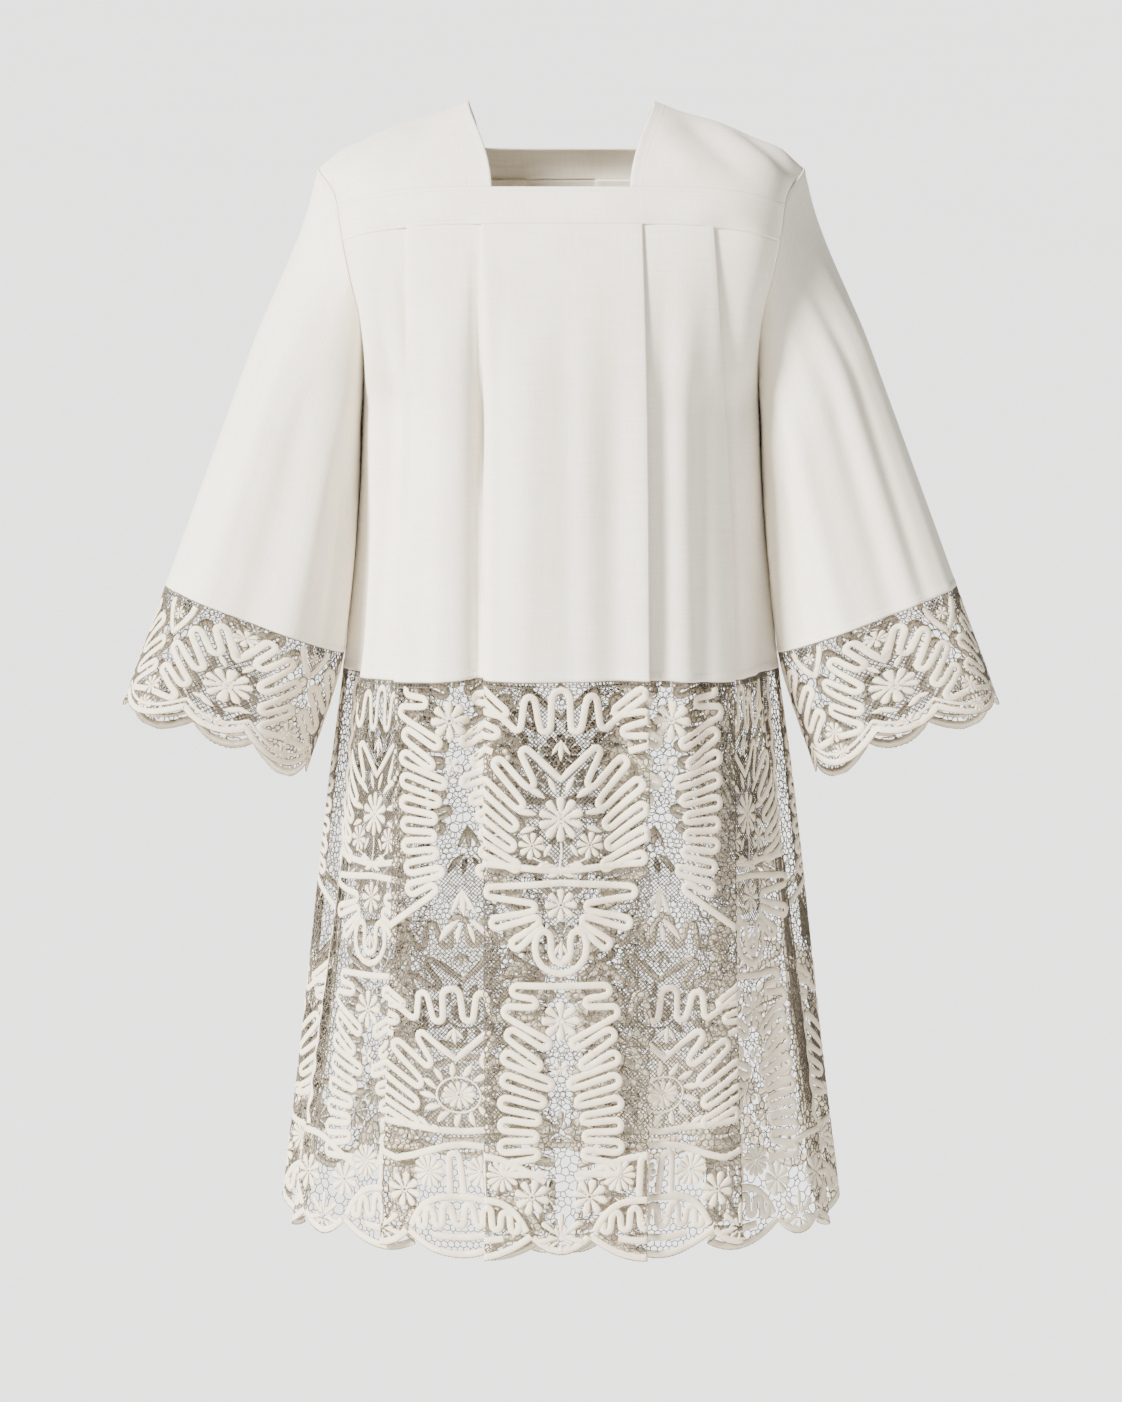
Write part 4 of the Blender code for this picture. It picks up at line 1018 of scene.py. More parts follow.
def makeSleeve(name, node, right):
    look = dict(half=0.00055, hem=0.0135, hemHalf=0.00035, seamFold=0.008, seamHalf=0.0003,
                end=0.999, stitchLift=0.0003)
    lowest = np.array([0.9862, 0.9885, 0.995, look["end"]])
    levels = np.concatenate([[0.0, 0.004, 0.010], np.linspace(0.02, 0.975, 38), lowest])
    points, normals = sleeveNet(levels, np.linspace(0, 1, 105), right)
    uvs = flatUv(points)
    thick = look["half"] + edgeFold(look["end"] - levels, look["hem"], look["hemHalf"])
    thick = (thick + edgeFold(levels, look["seamFold"], look["seamHalf"]))[:, None]
    ring = slice(0, -1)
    piece = clothWall(name, points[:, ring], normals[:, ring], uvs[:, ring], thick, closed=True)
    asCotton(piece, node, points, "hung", ["shoulderRight" if right else "shoulderLeft"])
    for level in (2, -4):
        sew(points[level], normals[level], look["half"] + look["stitchLift"])


makeSleeve("sleeveRight", "sleeve_right", True)
makeSleeve("sleeveLeft", "sleeve_left", False)
print("sleeves made")


def trianglesOf(piece):
    return sum(len(face.vertices) - 2 for face in piece.data.polygons)


def sewSeams():
    # small lockstitches along every sewn line, a little coarser than real ones, to show
    values = {"Pitch": 0.0031, "Length": 0.0027, "Width": 0.00055, "Finish": stitchFinish}
    outward = [lean for line, lean in seams]
    lines = [line for line, lean in seams]
    piece = grown("sewing", lines, stitchLayer, values, outward=outward)
    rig.ride(piece, "root")
    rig.slot(piece, "cotton")
    print(piece.name, trianglesOf(piece))


sewSeams()

# The lace is laid out flat in millimetres: x across from the middle, y down from its seam.
lace = dict(
    tapeWidth=6.9, tapeHeight=0.8, depth=546.0, halfWidth=640.0, unit=1280 / 3, tierTwo=284.0,
    repeat=160.0, narrow=55.0, narrowDrop=15.0, wideDrop=22.0, lowerScale=0.80,
    fineCell=6.0, sideCell=8.2, openCell=7.4, hiddenCell=17.0, netPitch=3.0,
    lowerAxis=231.0, threadWidth=1.25, netWidth=1.05, holeStep=13.5, holeRow=17.2,
    tapeInside=3.4,
)

# Where the medallions, the open columns, the lower medallions and the narrow strips stand.
axes = dict(
    centre=[lace["unit"] * k for k in (-1, 0, 1)],
    between=[lace["unit"] * k for k in (-1.5, -0.5, 0.5, 1.5)],
    lower=[-1.5 * lace["unit"], -lace["lowerAxis"], lace["lowerAxis"], 1.5 * lace["unit"]],
    strip=[lace["unit"] * k for k in (-1.25, 1.25)],
)


fineStep = 1.3  # from point to point along a tape


def lineOf(x, y):
    return np.column_stack([x, np.broadcast_to(y, np.shape(x))])


def evenly(points, step=fineStep):
    length = np.concatenate([[0], np.cumsum(np.linalg.norm(np.diff(points, axis=0), axis=1))])
    at = np.linspace(0, length[-1], max(int(round(length[-1] / step)), 1) + 1)
    return np.column_stack([np.interp(at, length, column) for column in points.T])


def soften(points, rounds):
    for _ in range(rounds):
        inner = 0.25 * points[:-2] + 0.5 * points[1:-1] + 0.25 * points[2:]
        points = np.concatenate([points[:1], inner, points[-1:]])
    return points


def hairpins(turns, start=None, end=None):
    # a tape that turns back at each tip: x, y, heading in degrees (90 is down) and radius
    tips = [np.array(turn[:2], float) for turn in turns]
    first = tips[0] * 2 - tips[1] if start is None else np.array(start, float)
    final = tips[-1] * 2 - tips[-2] if end is None else np.array(end, float)
    way = [first, *tips, final]
    points = [] if start is None else [first]
    for k, (*_, heading, radius) in enumerate(turns):
        ahead = np.array([cos(radians(heading)), sin(radians(heading))])
        progress = way[k + 2] - way[k]
        side = normalised(progress - (progress @ ahead) * ahead)
        middle = tips[k] - ahead * radius
        for turn in np.linspace(-pi / 2, pi / 2, 7):
            points.append(middle + radius * (cos(turn) * ahead + sin(turn) * side))
    if end is not None:
        points.append(final)
    return evenly(soften(evenly(np.array(points)), 3))


def bothSides(line):
    return np.concatenate([(line * [-1, 1])[:0:-1], line])


def ringLine(x, y, radius, count):
    angle = np.linspace(0, 2 * pi, count)
    return np.column_stack([x + radius * np.sin(angle), y - radius * np.cos(angle)])


def topRow():
    cap = [[8.6 * sin(a), 17 - 9.5 * cos(a)] for a in np.linspace(0, pi / 2, 6)]
    row = hairpins([
        (14.5, 47, 90, 5.2), (29, 13, -88, 5.4), (40.5, 45, 98, 4.6), (80, 11, -10, 5.0),
        (50, 29, 172, 4.4), (83, 33, 0, 5.0), (58, 48, 178, 4.4), (85, 56, 4, 5.0),
    ], start=(8.6, 19), end=(64, 66))
    return bothSides(soften(evenly(np.concatenate([cap, row])), 1))


def ringOfFingers():
    return bothSides(hairpins([
        (36, 63, -44, 4.6), (27, 98, 120, 4.8), (62, 74, -36, 5.2), (35.5, 117, 142, 4.8),
        (77, 95, -22, 5.4), (41, 135, 160, 4.8), (81, 119, -9, 5.4), (43, 153, 176, 4.8),
        (82, 143, 3, 5.4), (39, 171, 194, 4.8), (79, 167, 16, 5.4),
    ], start=(0, 91), end=(0, 177)))


def lowerRing():
    return bothSides(hairpins([
        (36, 50, -46, 5.0), (27, 80, 118, 4.8), (64, 61, -36, 5.6), (37, 99, 142, 4.8),
        (80, 84, -20, 5.6), (42, 118, 162, 4.8), (83, 109, -3, 5.6), (43, 135, 186, 4.6),
        (80, 132, 12, 5.4),
    ], start=(0, 73), end=(0, 142)))


def fanBelow():
    fan = hairpins([
        (70, 199, 18, 5.2), (24, 209, 204, 4.4), (64, 230, 40, 5.4), (21, 221, 226, 4.2),
        (44, 250, 62, 5.2),
    ], start=(0, 188), end=(17, 228))
    ring = np.array([
        [0, 273.5], [9, 272], [17.5, 266.5], [23, 257.5], [24.5, 247], [22, 236.5],
        [15.5, 232.5], [9.8, 236], [8.6, 244], [9.6, 253], [6.5, 261], [0, 264],
    ])
    return [bothSides(fan), bothSides(soften(evenly(ring), 4))]


def besideColumn(bottom):
    # the tape beside an open column: round a flower, round a diamond, then in even fingers
    turns = [
        (46, 8, 4, 5.2), (23, 20, 164, 4.3), (53, 25, -30, 5.6), (11, 60, 142, 4.6),
        (50, 47, -32, 5.6), (19, 79, 152, 4.2), (54, 69, -25, 5.6), (8, 97, 158, 4.4),
        (55, 91, -18, 5.6), (15, 113, 165, 4.1), (57, 113, -11, 5.6), (20, 129, 172, 4.1),
        (57, 134.5, -4, 5.6), (22, 145, 180, 4.1), (57.5, 155.5, 4, 5.6), (21, 161, 188, 4.1),
        (56, 177, 12, 5.4),
    ]
    end = (16, 180)
    if bottom == "open":
        turns += [(17, 178, 196, 4.1), (56, 198, 20, 5.4), (25, 194, 205, 4.1)]
        end = (84, 236)
    return bothSides(hairpins(turns, start=(0, 3.2), end=end))


def wavyEdge(x, top, bottom, reach):
    y = np.arange(top, bottom, fineStep)
    return np.column_stack([x + reach * np.sin(2 * pi * y / 27), y])


def scallops(turn, share, sizes):
    # how far a hem of narrow and wide scallops drops, at turns counted from a narrow one
    place = np.abs((turn + 0.5) % 1 - 0.5)
    narrow = sizes["narrowDrop"] * (1 - (place / share) ** 2)
    wide = sizes["wideDrop"] * (1 - ((0.5 - place) / (0.5 - share)) ** 2)
    return sizes["depth"] - sizes["wideDrop"] + np.where(place < share, narrow, wide)


def hemAt(x):
    return scallops(x / lace["repeat"], lace["narrow"] / lace["repeat"] / 2, lace)


skirtPanel = dict(low=-lace["halfWidth"], high=lace["halfWidth"], depth=lace["depth"], hem=hemAt)


def medallionArch(x):
    # the long tape over the border: it stops beside each column
    x, repeat, axis = np.abs(x), lace["unit"], lace["lowerAxis"]
    place = np.where(x < axis, x, (repeat - x) * axis / (repeat - axis))
    place = np.where(x > repeat, x - repeat, place)
    return np.interp(place, [13, 24, 40, 58, 80, 120, 150, 170, 190, 210, 231],
                     [470, 464, 456, 449, 445, 446, 455, 451, 445, 440, 438])


def scallopArch(place):
    return 488 + 33 * (np.abs(place) / 50.0) ** 3.4


# Lines come with their widths along them, 1 being the tape's own.
def full(lines):
    return [(line, np.ones(len(line))) for line in lines]


def evenWidth(line, width):
    return line, np.full(len(line), width / lace["tapeWidth"])


def petals(x, y, inner, outer, width, count, turn=0.0):
    # short tapes that stand round a centre
    shape = np.array([0.30, 0.55, 0.85, 1.0, 0.92, 0.35]) * width / lace["tapeWidth"]
    reach = np.array([0, 0.25, 0.5, 0.74, 0.92, 1.0]) * (outer - inner) + inner
    made = []
    for k in range(count):
        angle = 2 * pi * (k + turn) / count
        line = np.column_stack([x + reach * np.sin(angle), y - reach * np.cos(angle)])
        made.append((line, shape))
    return made


def leaf(x, y, heading, length, width, bend=0.0):
    # one leaf from its stalk: heading in degrees, 0 is right and 90 is down
    at = np.array([0, 0.22, 0.45, 0.68, 0.87, 1.0])
    angle = radians(heading) + bend * at
    step = np.diff(at, prepend=0.0) * length
    xs, ys = x + np.cumsum(step * np.cos(angle)), y + np.cumsum(step * np.sin(angle))
    shape = np.array([0.25, 0.75, 1.0, 0.86, 0.5, 0.08])
    return np.column_stack([xs, ys]), shape * width / lace["tapeWidth"]


def stem(points, width):
    return evenWidth(evenly(soften(evenly(np.array(points, float), 2.0), 4), 3.2), width)


def daisy(x, y, radius, count, turn=0.0):
    made = petals(x, y, radius * 0.22, radius, radius * (3.0 / count + 0.12), count, turn)
    return made + [evenWidth(ringLine(x, y, radius * 0.15, count=8), radius * 0.13)]


def moved(shapes, x, y, scale=1.0):
    return [(line * [1.0, scale] + [x, y], size) for line, size in shapes]


def mirrored(shapes):
    # each shape on the wearer's right, then all of them again on the left
    return [(line * [-1, 1], size) for line, size in shapes] + shapes


def upperSpray():
    # a plain bouquet: one open flower over two small ones, with leaves along curved stems
    side = [
        stem([(0, 180), (5, 172), (16, 169), (26, 164)], 1.9),
        leaf(7, 171, 24, 17, 7.0, -0.5), leaf(12, 168, 20, 14, 6.0, 0.5),
        leaf(15, 108, -46, 19, 7.4, 0.5), leaf(23, 123, -18, 18, 7.0, 0.4),
        leaf(5, 104, -76, 17, 6.4, 0.3), leaf(24, 136, 6, 15, 6.2, 0.4),
        leaf(9, 152, 50, 13, 5.4, 0.3),
    ]
    both, count = mirrored(side), len(side)
    made = daisy(0, 128, 21.0, 10) + daisy(0, 128, 8.5, 6, 0.5)
    made += daisy(-27, 153, 12.5, 8, 0.2) + both[:count]
    made += daisy(27, 153, 12.5, 8, 0.2) + both[count:]
    made.append(stem([(0, 181), (-1, 170), (1, 160), (0, 150)], 2.2))
    return made + [leaf(0, 177, 35, 14, 6.0, -0.4), leaf(0, 177, 145, 14, 6.0, 0.4)]


def lowerSpray():
    # a round wreath of leaves with a twelve-petalled rosette in it
    y, ring, wreath, leaves = 134, 21.0, 22.5, 13
    made = daisy(0, y, 16.0, 12) + [evenWidth(ringLine(0, y, ring, count=29), 2.2)]
    for k in range(leaves):
        angle = 2 * pi * (k + 0.5) / leaves
        heading = angle * 180 / pi - 90 + 34
        foot = wreath * sin(angle), y - wreath * cos(angle)
        made.append(leaf(*foot, heading, 17.0, 7.4, -0.5))
    return made + mirrored([
        stem([(4, 177), (20, 178), (35, 169)], 1.9),
        leaf(18, 177, -22, 13, 5.6, -0.5), leaf(31, 171, -30, 15, 6.0, -0.3),
    ])


def hangingLeaves():
    return [leaf(0, 54, 90, 20, 5.5), leaf(-1, 56, 122, 14, 4.0), leaf(1, 56, 58, 14, 4.0)]


def sprig(x, top, bottom):
    # a climbing stem with leaves in pairs, for the narrow nets
    sway, bends = 1.6, 9.5
    y = np.arange(top, bottom, 3.0)
    made = [evenWidth(np.column_stack([x + sway * np.sin(y / bends), y]), 1.5)]
    for number, spot in enumerate(np.arange(top + 9, bottom - 4, 12.4)):
        side = -1 if number % 2 else 1
        middle = x + sway * sin(spot / bends)
        made.append(leaf(middle, spot, -90 + 52 * side, 12.5, 4.6, 0.55 * side))
        made.append(leaf(middle, spot + 4.5, -90 - 58 * side, 9.5, 3.8, -0.55 * side))
    return made


def bellFlower(y):
    # three petals that hang from a calyx, between two leaves
    made = [leaf(0, y, 90, 26, 7.0), leaf(-1, y + 2, 112, 25, 5.6, 0.15),
            leaf(1, y + 2, 68, 25, 5.6, -0.15)]
    return made + mirrored([leaf(6, y + 30, 28, 27, 7.5, 0.5), leaf(3, y + 33, 60, 19, 6.0, 0.4)])


def borderOf(narrow, wide):
    # the tapes and flowers between the long arch and the hem
    made, flowers = [], []
    x = np.arange(-60, 60.1, fineStep)
    for axis in narrow:
        near = x[np.abs(x) < 26.5]
        made += full([lineOf(axis + near, hemAt(near) - lace["tapeInside"])])
        flowers += moved(petals(0, 522, 3.5, 22.5, 6.4, 7), axis, 0)
        flowers += moved(petals(0, 524, 3.0, 12.0, 3.6, 7, 0.5), axis, 0)
        for side in (-1, 1):
            flowers += moved(daisy(0, 0, 16.5, 8, 0.3), axis + 27 * side, 484)
    loop = hairpins([(0.0, 446, -90, 5.0)], start=(-6.5, 484), end=(6.5, 484))
    fill = hairpins([
        (0.1, 516, 90, 5.0), (10.5, 495, -90, 4.6), (19.5, 516, 90, 4.4), (28.5, 499, -84, 4.3),
        (36.5, 518, 96, 4.0),
    ], end=(40, 508))
    for axis in wide:
        near = x[np.abs(x) < 52.0]
        made += full([lineOf(axis + near, hemAt(80 + near) - lace["tapeInside"])])
        near = x[np.abs(x) < 48.5]
        made += full([lineOf(axis + near, scallopArch(near))])
        made += full(bothSides(line[line[:, 0] > 0.4]) + [axis, 0] for line in (loop, fill))
        near = x[np.abs(x) < 27]
        made += full([lineOf(axis + near, 526.5 - 0.004 * near ** 2)])
        for side in (-1, 1):
            flowers += moved(daisy(0, 0, 15.5, 12), axis + 25.5 * side, 464)
        flowers += moved(daisy(0, 0, 5.5, 5), axis, 507)
    return made, flowers


def skirtShapes():
    # every tape, petal and leaf of the skirt
    repeat, two, low = lace["unit"], lace["tierTwo"], lace["lowerScale"]
    places = np.arange(-4, 5) * lace["repeat"]
    made, flowers = borderOf(places, places[:-1] + lace["repeat"] / 2)
    for axis in axes["centre"]:
        made += full(line + [axis, 0] for line in (topRow(), ringOfFingers(), *fanBelow()))
        made += full([besideColumn("arch") + [axis, two - 2]])
        bud = [leaf(0, 243, 90, 17, 5.0), leaf(-2, 246, 112, 11, 3.6), leaf(2, 246, 68, 11, 3.6)]
        spray = upperSpray() + daisy(0, 209, 15.0, 8) + bud + daisy(0, two + 34, 18.0, 8)
        spray += daisy(0, two + 79, 7.5, 4, 0.5) + hangingLeaves()
        flowers += moved(spray, axis, 0)
    for axis in axes["lower"]:
        made += full(line + [axis, two] for line in (topRow() * [1, low], lowerRing()))
        flowers += moved(lowerSpray() + hangingLeaves(), axis, two, low)
    for axis in axes["between"]:
        made += full([besideColumn("open") + [axis, 0]])
        spray = daisy(0, 37, 18.0, 8) + daisy(0, 79, 7.5, 4, 0.5) + bellFlower(196)
        flowers += moved(spray, axis, 0)
    for axis in axes["strip"]:
        for side in (-1, 1):
            made += full(wavyEdge(axis + side * 17, top, bottom, 2.4)
                         for top, bottom in ((6, 280), (282, 440)))
        flowers += sprig(axis, 14, 272) + sprig(axis, 290, 434)
    x = np.arange(-lace["halfWidth"], lace["halfWidth"] + 1, fineStep)
    for first in (-2, -1, 0, 1):
        near = x[(x > first * repeat + 14) & (x < (first + 1) * repeat - 14)]
        if len(near) > 4:
            made += full([lineOf(near, medallionArch(near))])
    return cutToLace(made, skirtPanel), cutToLace(flowers, skirtPanel)


def runsOf(good, least):
    # where a row of yes and no says yes, in runs longer than least
    cuts = np.flatnonzero(np.diff(np.concatenate([[0], good.astype(int), [0]])))
    return [(a, b) for a, b in zip(cuts[::2], cuts[1::2]) if b - a > least]


def cutToLace(shapes, panel):
    return [part for shape in shapes for part in clipped(*shape, panel)]


def clipped(line, size, panel):
    # the stretches of a line that lie on the lace
    x, y = line.T
    inside = (x >= panel["low"] - 0.01) & (x <= panel["high"] + 0.01)
    inside &= (y >= 4.0) & (y <= panel["hem"](x) - 3.0)
    return [(line[a:b], size[a:b]) for a, b in runsOf(inside, 3)]


def blankMask(panel):
    # one cell to a millimetre, with a margin of four cells
    return np.zeros((int(panel["high"] - panel["low"]) + 8, int(panel["depth"]) + 8), bool)


def cellOf(mask, x, y, panel):
    return (np.clip((x - panel["low"]).astype(int) + 4, 0, mask.shape[0] - 1),
            np.clip(y.astype(int) + 4, 0, mask.shape[1] - 1))


def markLines(mask, shapes, panel, trim):
    around = [(dx, dy) for dx in range(-3, 4) for dy in range(-3, 4)]
    for line, size in shapes:
        x, y, wide = evenly(np.column_stack([line, size]), 1.0).T
        radius = np.maximum(lace["tapeWidth"] / 2 * wide - trim, 0.3)
        for dx, dy in around:
            near = dx * dx + dy * dy <= radius ** 2
            mask[cellOf(mask, x[near] + dx, y[near] + dy, panel)] = True


def markArea(mask, border, panel):
    # all cells inside a closed border
    x1, y1 = border.T
    x2, y2 = np.roll(x1, -1), np.roll(y1, -1)
    for row in range(max(int(y1.min()), 0), int(y1.max()) + 1):
        y = row + 0.5
        hits = (y1 > y) != (y2 > y)
        places = np.sort(x1[hits] + (y - y1[hits]) * (x2[hits] - x1[hits]) / (y2[hits] - y1[hits]))
        for left, right in zip(places[::2], places[1::2]):
            a, b = cellOf(mask, np.array([left, right]), np.array([y, y]), panel)[0]
            mask[a:b + 1, row + 4] = True


def netLines(mask, panel):
    # two families of slanting threads, kept where the mask says net
    look = dict(side=2, bottom=8, step=1.5, aboveHem=5, between=6.0)
    made = []
    low, high = panel["low"] + look["side"], panel["high"] - look["side"]
    bottom = panel["depth"] - look["bottom"]
    pitch = lace["netPitch"] * 2 ** 0.5
    y = np.arange(0, bottom, look["step"])
    for slope in (-1, 1):
        ends = (low - bottom, high) if slope > 0 else (low, high + bottom)
        for start in np.arange(*ends, pitch):
            x = start + slope * y
            good = mask[cellOf(mask, x, y, panel)] & (x > low) & (x < high)
            good &= y < panel["hem"](x) - look["aboveHem"]
            made += [evenly(lineOf(x[a:b], y[a:b]), look["between"]) for a, b in runsOf(good, 2)]
    return made


def groundLines(points, keep):
    # bars round irregular holes: each point becomes a hole, and keep says which bars are made
    net = delaunay_2d_cdt([Vector(p) for p in points], [], [], 0, 1e-7)
    corners = np.array([tuple(p) for p in net[0]])
    triangles = np.array(net[2])
    middles = corners[triangles].mean(axis=1)
    sides = np.concatenate([triangles[:, [0, 1]], triangles[:, [1, 2]], triangles[:, [2, 0]]])
    sides = np.sort(sides, axis=1)
    owner = np.tile(np.arange(len(triangles)), 3)
    code = sides[:, 0] * len(corners) + sides[:, 1]
    order = np.argsort(code, kind="stable")
    same = np.flatnonzero(code[order][:-1] == code[order][1:])
    bars = np.column_stack([owner[order][same], owner[order][same + 1]])
    bars = bars[keep(middles[bars[:, 0]], middles[bars[:, 1]])]
    return chained(middles, bars)


def chained(nodes, bars):
    # joins bars into long lines: at each node the two that meet most nearly straight go on
    ends = bars.tolist()
    touching = {}
    for number, bar in enumerate(ends):
        for node in bar:
            touching.setdefault(node, []).append(number)
    following = {}
    for node, numbers in touching.items():
        if len(numbers) > 1:
            ways = [nodes[sum(ends[n]) - node] - nodes[node] for n in numbers]
            ways = [way / (np.linalg.norm(way) + 1e-9) for way in ways]
            pairs = [(ways[i] @ ways[j], i, j) for i in range(len(ways)) for j in range(i)]
            _, i, j = min(pairs)
            following[(numbers[i], node)] = numbers[j]
            following[(numbers[j], node)] = numbers[i]
    used, lines = set(), []
    starts = [(n, end) for n, bar in enumerate(ends) for end in bar if (n, end) not in following]
    starts += [(n, bar[0]) for n, bar in enumerate(ends)]
    for number, start in starts:
        if number in used:
            continue
        path, node = [start], start
        while number is not None and number not in used:
            used.add(number)
            node = sum(ends[number]) - node
            path.append(node)
            number = following.get((number, node))
        lines.append(nodes[path])
    return lines


def crossedFolds(lines, zones, step):
    # adds points to threads only where the cloth turns under them
    made = []
    for line in lines:
        close = inZones(line, zones)
        if close.any():
            parts = []
            for k, way in enumerate(np.diff(line, axis=0)):
                near = close[k] or close[k + 1]
                count = max(int(round(np.linalg.norm(way) / step)), 1) if near else 1
                parts.append(line[k] + way * np.linspace(0, 1, count + 1)[:-1, None])
            line = np.concatenate(parts + [line[-1:]])
        made.append(line)
    return made


def refined(lines, zones, step, coarse, bend=0.30):
    # thins the points on straight stretches and keeps them close where the cloth turns
    closest, slack = 1.2, 0.01
    made = []
    for line in lines:
        dense = evenly(line, step)
        way = np.diff(dense[:, :2], axis=0)
        turned = np.abs(np.diff(np.unwrap(np.arctan2(way[:, 1], way[:, 0]))))
        turned = np.concatenate([[0], turned, [0]])
        close = inZones(dense, zones)
        kept, angle, run = [0], 0.0, 0.0
        for k in range(1, len(dense) - 1):
            angle += turned[k]
            run += step
            if angle > bend or run > coarse - slack or (close[k] and run > closest):
                kept.append(k)
                angle, run = 0.0, 0.0
        kept.append(len(dense) - 1)
        made.append(dense[kept])
    return made


def inZones(points, zones):
    close = np.zeros(len(points), bool)
    for at, low, high in zones:
        a, b = np.interp(points[:, 1], at, low), np.interp(points[:, 1], at, high)
        close |= (points[:, 0] > a) & (points[:, 0] < b)
    return close


def skirtDrape(front):
    step, halfWidth = 0.006, 0.001 * lace["halfWidth"]
    downs = np.arange(-1, 93) * step
    net = pleatedNet(hang["laceTop"] - downs, front, laceSteps)
    middle, flat = net["middle"], np.abs(net["u"])
    sides = ((slice(0, middle + 1), net["rightLast"]), (slice(middle, None), net["leftLast"]))
    for side, last in sides:
        part, last = flat[:, side], last[:, None]
        whole = part.max(axis=1, keepdims=True)
        squeezed = last + (part - last) * (halfWidth - last) / (whole - last)
        flat[:, side] = np.where(part <= last, part, squeezed)
    edges = np.cumsum(laceSteps)
    signed = flat * np.sign(net["u"] + 1e-12) * 1000
    zones = []
    for turn in range(4):
        low, high = edges[turn * 2] - 1, edges[turn * 2 + 1] + 1
        for way in (-1, 1):
            a, b = sorted((middle + way * low, middle + way * high))
            zones.append((downs * 1000, signed[:, a] - 0.6, signed[:, b] + 0.6))
    flat = flat * np.sign(net["u"])
    return dict(net, flat=flat, top=downs[0], step=step), zones


def holeSpots(rows):
    # the large holes of one open column, from its first row
    short, long = (-1, 0, 1), (-1.5, -0.5, 0.5, 1.5)
    return [(offset * lace["holeStep"], row * lace["holeRow"])
            for row in range(rows) for offset in (long if row % 2 else short)]


def packedRows(low, high, depth, cell):
    # rows of small holes, each a little off its place
    for number, y in enumerate(np.arange(3.0, depth + 6, cell * 0.866)):
        x = np.arange(low - 6, high + 6, cell) + (cell / 2 if number % 2 else 0)
        yield lineOf(x, y) + rng.uniform(-0.24, 0.24, (len(x), 2)) * cell


def columnCentres():
    # the holes that the solid has, which stay the largest holes of the ground
    flowers = [row * lace["holeRow"] for row in (2, 6)]
    spots = [(x, y) for x, y in holeSpots(9)
             if min(np.hypot(x, y - flower) for flower in flowers) > 19.0]
    made = np.array([(axis + x, top + y) for name, top in (("between", 60.0), ("centre", 336.0))
                     for axis in axes[name] for x, y in spots])
    return made[np.abs(made[:, 0]) < lace["halfWidth"] - 6]


def groundPoints():
    # hole centres: close together by the tapes, wide in the columns, widest where it is hidden:
    # where each hidden strip starts and ends, and how far both move out with the depth
    hidden = ((84, 0, 182, 0.04), (286, 0.08, 352, 0.1))
    look = dict(sideFrom=400, columnHalf=15, clear=7.3, more=1.04)
    wide, cell = lace["halfWidth"], lace["fineCell"]
    big = columnCentres()
    tree = KDTree(len(big))
    for number, (x, y) in enumerate(big):
        tree.insert((x, y, 0), number)
    tree.balance()
    made = list(map(tuple, big))
    for spots in packedRows(-wide, wide, lace["depth"], cell):
        for (x, y), luck in zip(spots, rng.uniform(0, 1, len(spots))):
            far = abs(x)
            size = lace["sideCell"] if far > look["sideFrom"] else cell
            if columnGap(x, y) < look["columnHalf"]:
                size = lace["openCell"]
            if any(low + y * a < far < high + y * b for low, a, high, b in hidden):
                size = lace["hiddenCell"]
            free = tree.find((x, y, 0))[2] > look["clear"]
            if free and luck < (cell / size) ** 2 * look["more"]:
                made.append((x, y))
    return np.array(made)


def columnGap(x, y):
    # how far a place is from the middle of the nearest open column
    repeat = lace["unit"]
    return abs((x + repeat / 2) % repeat - repeat / 2 if y > lace["tierTwo"]
               else x % repeat - repeat / 2)


def netAreas():
    # the nets inside the medallions, between their V tapes, and in the narrow strips
    window = bothSides(np.array([
        [0, 93], [14, 70], [27, 62], [38, 66], [34, 84], [38, 100], [48, 103], [52, 120],
        [56, 136], [56, 154], [52, 170], [44, 178], [20, 184], [0, 187.0],
    ]))
    fan = bothSides(np.array([[0, 185], [20, 190], [26, 204], [20, 222], [10, 232], [0, 234.0]]))
    below = bothSides(np.array([[0, 228], [20, 236], [34, 250], [30, 277], [0, 277.0]]))
    lower = window * [1, lace["lowerScale"]] + [0, lace["tierTwo"]]
    areas = [area + [axis, 0] for axis in axes["centre"] for area in (window, fan)]
    areas += [lower + [axis, 0] for axis in axes["lower"]]
    areas += [below + [axis, 0] for axis in axes["between"]]
    for axis in axes["strip"]:
        for top, bottom in ((7, 280), (290, 432)):
            left, right = axis - 15, axis + 15
            areas.append(np.array([[left, top], [right, top], [right, bottom], [left, bottom]]))
    return areas


def patternOf(shapes, flowers, areas, holes, panel):
    # everything of one lace as flat lines: its tapes, petals, ground and net
    bar = dict(longest=22, top=5, aboveHem=4.0, side=1)
    covered, nets = blankMask(panel), blankMask(panel)
    markLines(covered, shapes, panel, 0.3)
    markLines(covered, flowers, panel, 0.2)
    for area in areas:
        markArea(nets, area, panel)

    def keepBar(start, end):
        free = np.zeros(len(start), int)
        for share in (0.12, 0.5, 0.88):
            place = cellOf(covered, *(start + (end - start) * share).T, panel)
            free += ~(covered[place] | nets[place])
        kept = (free > 1) & (np.linalg.norm(end - start, axis=1) < bar["longest"])
        for x, y in (start.T, end.T):
            kept &= (y > bar["top"]) & (y < panel["hem"](x) - bar["aboveHem"])
            kept &= (x > panel["low"] + bar["side"]) & (x < panel["high"] - bar["side"])
        return kept

    return dict(tapes=shapes, flowers=flowers, ground=groundLines(holes, keepBar),
                net=netLines(nets, panel), panel=panel)


skirtPattern = patternOf(*skirtShapes(), netAreas(), groundPoints(), skirtPanel)
print("pattern:", {part: len(lines) for part, lines in skirtPattern.items() if part != "panel"})


def lifted(line, height):
    return np.column_stack([line[:, :2] * 0.001, np.full(len(line), height)])


